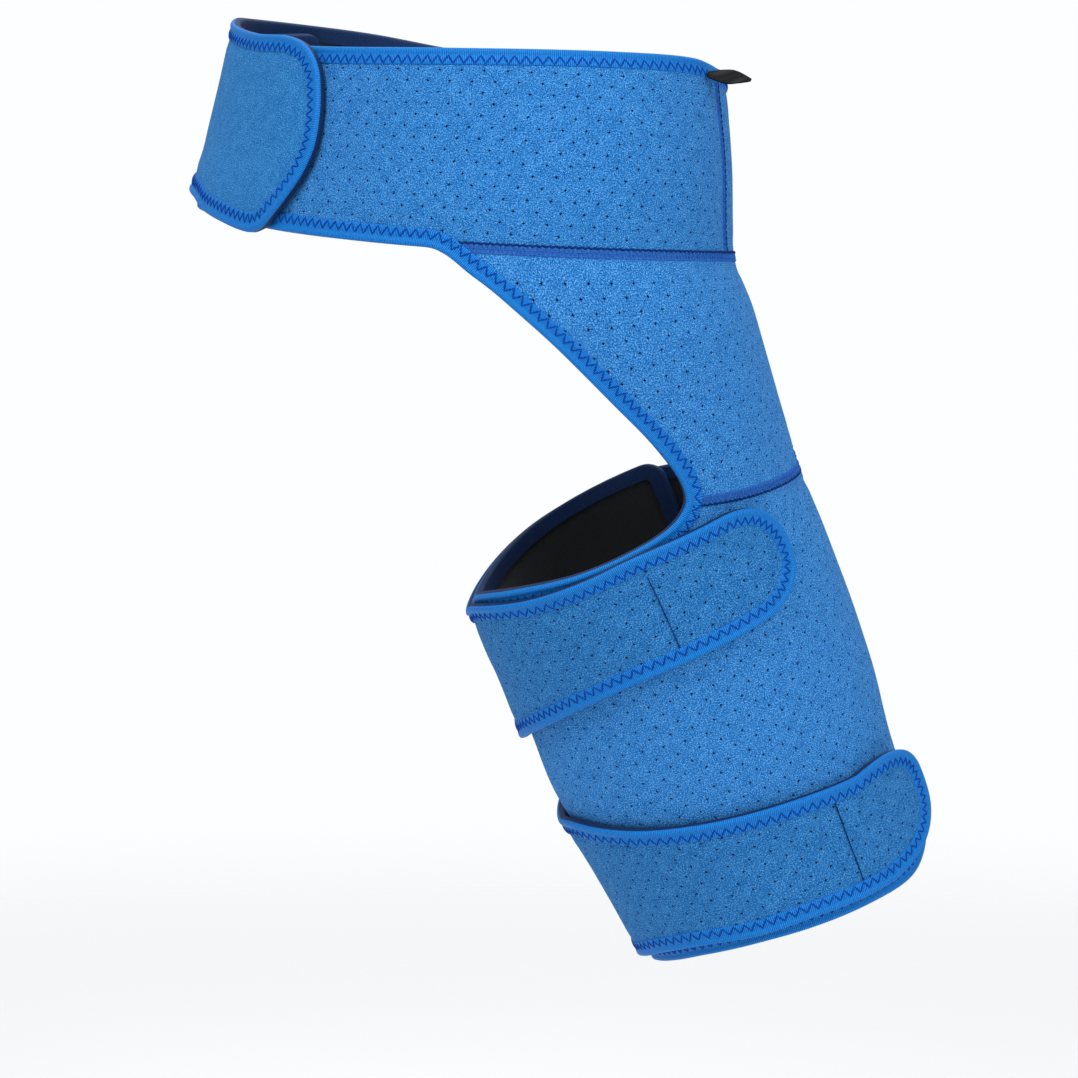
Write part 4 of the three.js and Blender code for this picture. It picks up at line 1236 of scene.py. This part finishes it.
def lockstitch(name, around, top, bottom, layer):
    line = upright(around, top, bottom, BINDING_WIDTH)
    stations, along = evenly(line, STITCH / STITCH_POINTS, STITCH_POINTS)
    phase = np.arange(len(stations)) % STITCH_POINTS / STITCH_POINTS
    edge_gap = np.minimum(along, along[-1] - along) + BINDING_WIDTH
    up = FABRIC + swell(edge_gap) - CREASE / 4 + STITCH_PROUD * np.sin(np.pi * phase)
    part = tube(*beside(stations, 0.0, up, layer), STITCH_THREAD)
    return build(name, [(part, 0)], [dark_thread], np.zeros((len(part[0]), 2)))


stitch_lines = {
    "upper_strap": lockstitch("upper_strap_stitches", UPPER_HOOK_START, upper_strap_top,
                              upper_strap_bottom, second_layer),
    "lower_strap": lockstitch("lower_strap_stitches", LOWER_HOOK_START, lower_strap_top,
                              lower_strap_bottom, lower_tab_layer),
}

# %% [markdown]
# ## Hook patches
# Under the flap and the strap tabs sits the hook side of the closure: a black woven base with rows
# of nylon hooks 1 mm tall. Nearly all of it is hidden, so each hook is a small bent peg.

# %% Hook tape
HOOK_PITCH, HOOK_ROW = 1.9, 1.52
HOOK_BASE, HOOK_BACKING, HOOK_WEAVE = 0.6, 0.25, 0.6 * MM
HOOK_EDGE = 0.8  # no hook stands nearer the patch's edge
HOOK_BEND = [(0.0, 0.12, 0.16), (0.0, -0.55, 0.16), (0.35, -0.9, 0.1)]  # lean, rise, half width


def hook_material():
    material, tree, shader = new_material("black_nylon_hook_tape", Roughness=0.6)
    weave = add(tree, "ShaderNodeTexNoise", {"Vector": object_place(tree)},
                {"Scale": 1 / HOOK_WEAVE})
    tint(tree, shader, weave.outputs["Fac"], [(0.3, "101216"), (0.7, "24272D")])
    return material


hook_tape = hook_material()


def hook_patch(name, top, bottom, start, end, layer):
    inset = BINDING_WIDTH + 3 * CLEARANCE
    around = round_trip(start, end, step=1.0)
    outline = np.concatenate([
        np.stack([around, top(around) + inset], 1),
        np.stack([around, bottom(around) - inset], 1)[::-1],
    ])
    base_height = SEWN_CLEARANCE + HOOK_BASE

    def base_layer(a, d):
        return layer(a, d) - base_height

    piece, size, area = worn_panel(
        name, outline, (start + end) / 2, base_layer, [hook_tape, hook_tape, hook_tape],
        punched=False, thickness=HOOK_BACKING)
    to_flat, to_form = flat_pattern(outline, (start + end) / 2, FABRIC)
    cut = to_flat(outline)
    low, high = cut.min(0), cut.max(0)
    x, y = np.meshgrid(np.arange(low[0] + 1, high[0], HOOK_PITCH),
                       np.arange(low[1] + 1, high[1], HOOK_ROW))
    x[::2] += HOOK_PITCH / 2
    spots = np.stack([x.ravel(), y.ravel()], 1)
    spots = spots[inside(spots, cut) & (nearest(spots, cut)[0] > HOOK_EDGE)]
    height = base_layer(*to_form(spots))
    corners = [
        skin(*to_form(spots + np.array([lean + dx * width, dy * width])), height + rise)
        for lean, rise, width in HOOK_BEND
        for dx, dy in ((-1, -1), (1, -1), (1, 1), (-1, 1))
    ]
    pegs, size_of_peg = np.stack(corners, 1), len(corners)
    faces = loft(pegs[0].reshape(len(HOOK_BEND), -1, 3))[1]
    all_faces = [[size_of_peg * n + k for k in face] for n in range(len(spots)) for face in faces]
    hooks = build(name + "_hooks", [((pegs.reshape(-1, 3), all_faces), 0)], [hook_tape],
                  np.zeros((size_of_peg * len(spots), 2)))
    print(name, len(spots), "hooks")
    return piece, size, area, hooks


patches = {
    "flap_hook": hook_patch(
        "flap_hook_tape",
        lambda a: np.maximum(belt_back_top(a - 360), belt_front_top(a)),
        lambda a: np.minimum(belt_back_bottom(a - 360), belt_front_bottom(a)),
        FLAP_HOOK_START, FLAP_ROUND_START, second_layer),
    "upper_strap_hook": hook_patch(
        "upper_strap_hook_tape", upper_strap_top, upper_strap_bottom, UPPER_HOOK_START,
        UPPER_TAB_START, second_layer),
    "lower_strap_hook": hook_patch(
        "lower_strap_hook_tape", lower_strap_top, lower_strap_bottom, LOWER_HOOK_START,
        LOWER_TAB_START, lower_tab_layer),
}

# %% [markdown]
# ## The folded label
# A narrow black satin ribbon is folded double and caught under the belt's top binding, so that it
# stands out like a small leaf, a little creased, and droops. It stays blank. The ribbon runs out,
# turns round its far end and comes back, and Solidify gives it the thickness of satin.

# %% Label
LABEL_AROUND, LABEL_LENGTH, LABEL_WIDTH, LABEL_THICKNESS = 25, 25, 9, 1.2
LABEL_DROOP, LABEL_SAG, LABEL_TURN, LABEL_DOWN, LABEL_PINCH = 18, 1, 41, 0.8, 0.1
RIBBON, SATIN_WEFT = 0.3, 0.5 * MM
RIBBON_ROWS, RIBBON_COLUMNS = 53, 9


def satin():
    material, tree, shader = new_material("black_satin_ribbon", Roughness=0.4,
                                          Specular_IOR_Level=0.12)
    weave = add(tree, "ShaderNodeTexWave", {"Vector": cloth_place(tree)},
                {"Scale": 1 / (SATIN_WEFT * WAVE_TURN), "Distortion": 1.0}, wave_type="BANDS",
                bands_direction="Y")
    tint(tree, shader, weave.outputs["Fac"], [(0.0, "050506"), (1.0, "0D0E10")])
    return material


def ribbon_label():
    down = float(belt_back_top(LABEL_AROUND)) + BINDING_WIDTH * LABEL_DOWN
    per_degree, _, normal = directions(float(LABEL_AROUND), down)
    along = unit(per_degree)
    downward = np.cross(along, normal)
    droop, turned = math.radians(LABEL_DROOP), math.radians(LABEL_TURN)
    outward = math.cos(droop) * normal + math.sin(droop) * downward
    drop = math.cos(droop) * downward - math.sin(droop) * normal
    across_width = math.cos(turned) * drop - math.sin(turned) * along
    across_thick = unit(np.cross(across_width, outward))
    loop = np.linspace(-1, 1, RIBBON_ROWS)
    share = 1 - np.abs(loop) ** 1.15
    fullness = np.sin(np.pi * (0.08 + 0.88 * share))
    half = LABEL_WIDTH / 2 * (LABEL_PINCH + (1 - LABEL_PINCH) * fullness)
    reach = half[0] * math.sin(droop) * math.cos(turned)
    open_by = np.sign(loop) * (LABEL_THICKNESS / 2 - RIBBON / 2) * np.minimum(
        1, 6 * (1 - share) + 0.15 * np.abs(loop)) * (1 - 0.5 * share)
    root = skin(float(LABEL_AROUND), down, 2 * FIRST_LAYER + FABRIC + CLEARANCE + reach)
    centre = (root + outward * (LABEL_LENGTH * share)[:, None]
              + drop * (LABEL_SAG * share ** 2)[:, None] + across_thick * open_by[:, None])
    width = np.linspace(-1, 1, RIBBON_COLUMNS)
    points = centre[:, None] + (half[:, None] * width)[..., None] * across_width
    creases = 0.3 * np.sin(8 * share[:, None] ** 1.6 + 2 * width) * np.sin(np.pi * share)[:, None]
    points += across_thick * creases[..., None]
    faces = faces_between(RIBBON_ROWS, RIBBON_COLUMNS, RIBBON_COLUMNS - 1)
    flat = along_and_across(loop * LABEL_LENGTH, width * LABEL_WIDTH / 2)
    piece = build("label_ribbon", [((points.reshape(-1, 3), faces), 0)], [satin()], flat)
    thicken(piece, RIBBON, 0)
    smooth_shade(piece)
    return piece


label = ribbon_label()
print("label", len(label.data.polygons), "faces")

# %% [markdown]
# ## Declaring the pieces
# Every piece rides on the one body, and a piece that stands for a plain solid hides it. The panels
# and hook patches are sheets of cloth, stretched round the form.


def declare(piece, slot, *nodes):
    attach(piece, "root")
    if nodes:
        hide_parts(*nodes)


for name, (piece, size, area) in panels.items():
    declare(piece, "plain_fabric" if name == "closure_flap" else "perforated_fabric", name)
for name, piece in bindings.items():
    declare(piece, "binding_tape", name)
for piece in [*seams.values(), *stitch_lines.values()]:
    declare(piece, "binding_tape")
for name, (piece, size, area, hooks) in patches.items():
    declare(piece, "hook_tape", name)
    declare(hooks, "hook_tape")
declare(label, "label_satin", "label")
print(len(panels) + len(bindings) + len(seams) + len(stitch_lines) + 2 * len(patches) + 1,
      "pieces declared")

# %% [markdown]
# ## Floor and light
# A product picture of cloth wants soft light from everywhere, and nothing around it that draws
# the eye. The floor is a round sheet of pale paper that fades out at its rim, so that it has no
# edge from any side. The world is white where it is looked at, and lights the cloth more gently
# than that. Two soft lights stand high on either side of the camera and one behind, so that what
# faces down is a little darker.

# %% Studio
FLOOR_BELOW = 0.3
FADE_START, FADE_END = 1.0, 2.4
LIGHT_DISTANCE = 2.4


def studio_floor():
    bpy.ops.object.select_all(action="DESELECT")
    bpy.ops.mesh.primitive_circle_add(vertices=96, radius=FADE_END, fill_type="NGON")
    piece = bpy.context.object
    piece.name = piece.data.name = "floor"
    points = read_points(piece)
    points[:, 2] = plain_box[0][2] - FLOOR_BELOW
    write_points(piece, points)
    material, tree, shader = new_material("pale_paper", Roughness=0.9,
                                          Base_Color=colour("F4F4F4"))
    flat = add(tree, "ShaderNodeVectorMath", {"Vector": object_place(tree)}, {1: (1, 1, 0)},
               operation="MULTIPLY")
    away = add(tree, "ShaderNodeVectorMath", {"Vector": flat.outputs["Vector"]},
               operation="LENGTH")
    fade = add(tree, "ShaderNodeMapRange", {"Value": away.outputs["Value"]},
               {"From Min": FADE_START, "From Max": FADE_END, "To Min": 1.0, "To Max": 0.0},
               interpolation_type="SMOOTHSTEP")
    tree.links.new(fade.outputs["Result"], shader.inputs["Alpha"])
    piece.data.materials.append(material)


def soft_light(name, azimuth, elevation, size, power, distance=LIGHT_DISTANCE):
    data = bpy.data.lights.new(name, "AREA")
    data.shape, data.size, data.energy = "SQUARE", size, power
    add_and_aim(name, data, azimuth, elevation, distance)


def white_world(seen, light):
    world = bpy.data.worlds.new("studio")
    world.use_nodes = True
    tree = world.node_tree
    lighting = tree.nodes["Background"]
    lighting.inputs["Color"].default_value = (0.95, 0.97, 1.0, 1.0)
    lighting.inputs["Strength"].default_value = light
    looked_at = add(tree, "ShaderNodeBackground", {},
                    {"Color": (0.98, 0.99, 1.0, 1.0), "Strength": seen})
    path = add(tree, "ShaderNodeLightPath")
    either = add(tree, "ShaderNodeMixShader", {"Fac": path.outputs["Is Camera Ray"],
                                               1: lighting.outputs["Background"],
                                               2: looked_at.outputs["Background"]})
    tree.links.new(either.outputs["Shader"], tree.nodes["World Output"].inputs["Surface"])
    return world


studio_floor()
soft_light("left_key", AZIMUTH - 35, 46, 1.4, 40)
soft_light("right_key", AZIMUTH + 42, 27, 1.4, 29)
soft_light("back", AZIMUTH + 180, 60, 2.0, 26)
bpy.context.scene.world = white_world(seen=1.0, light=0.5)
bpy.context.scene.view_settings.view_transform = "Standard"
print("floor at", round(plain_box[0][2] - FLOOR_BELOW, 3), "m")
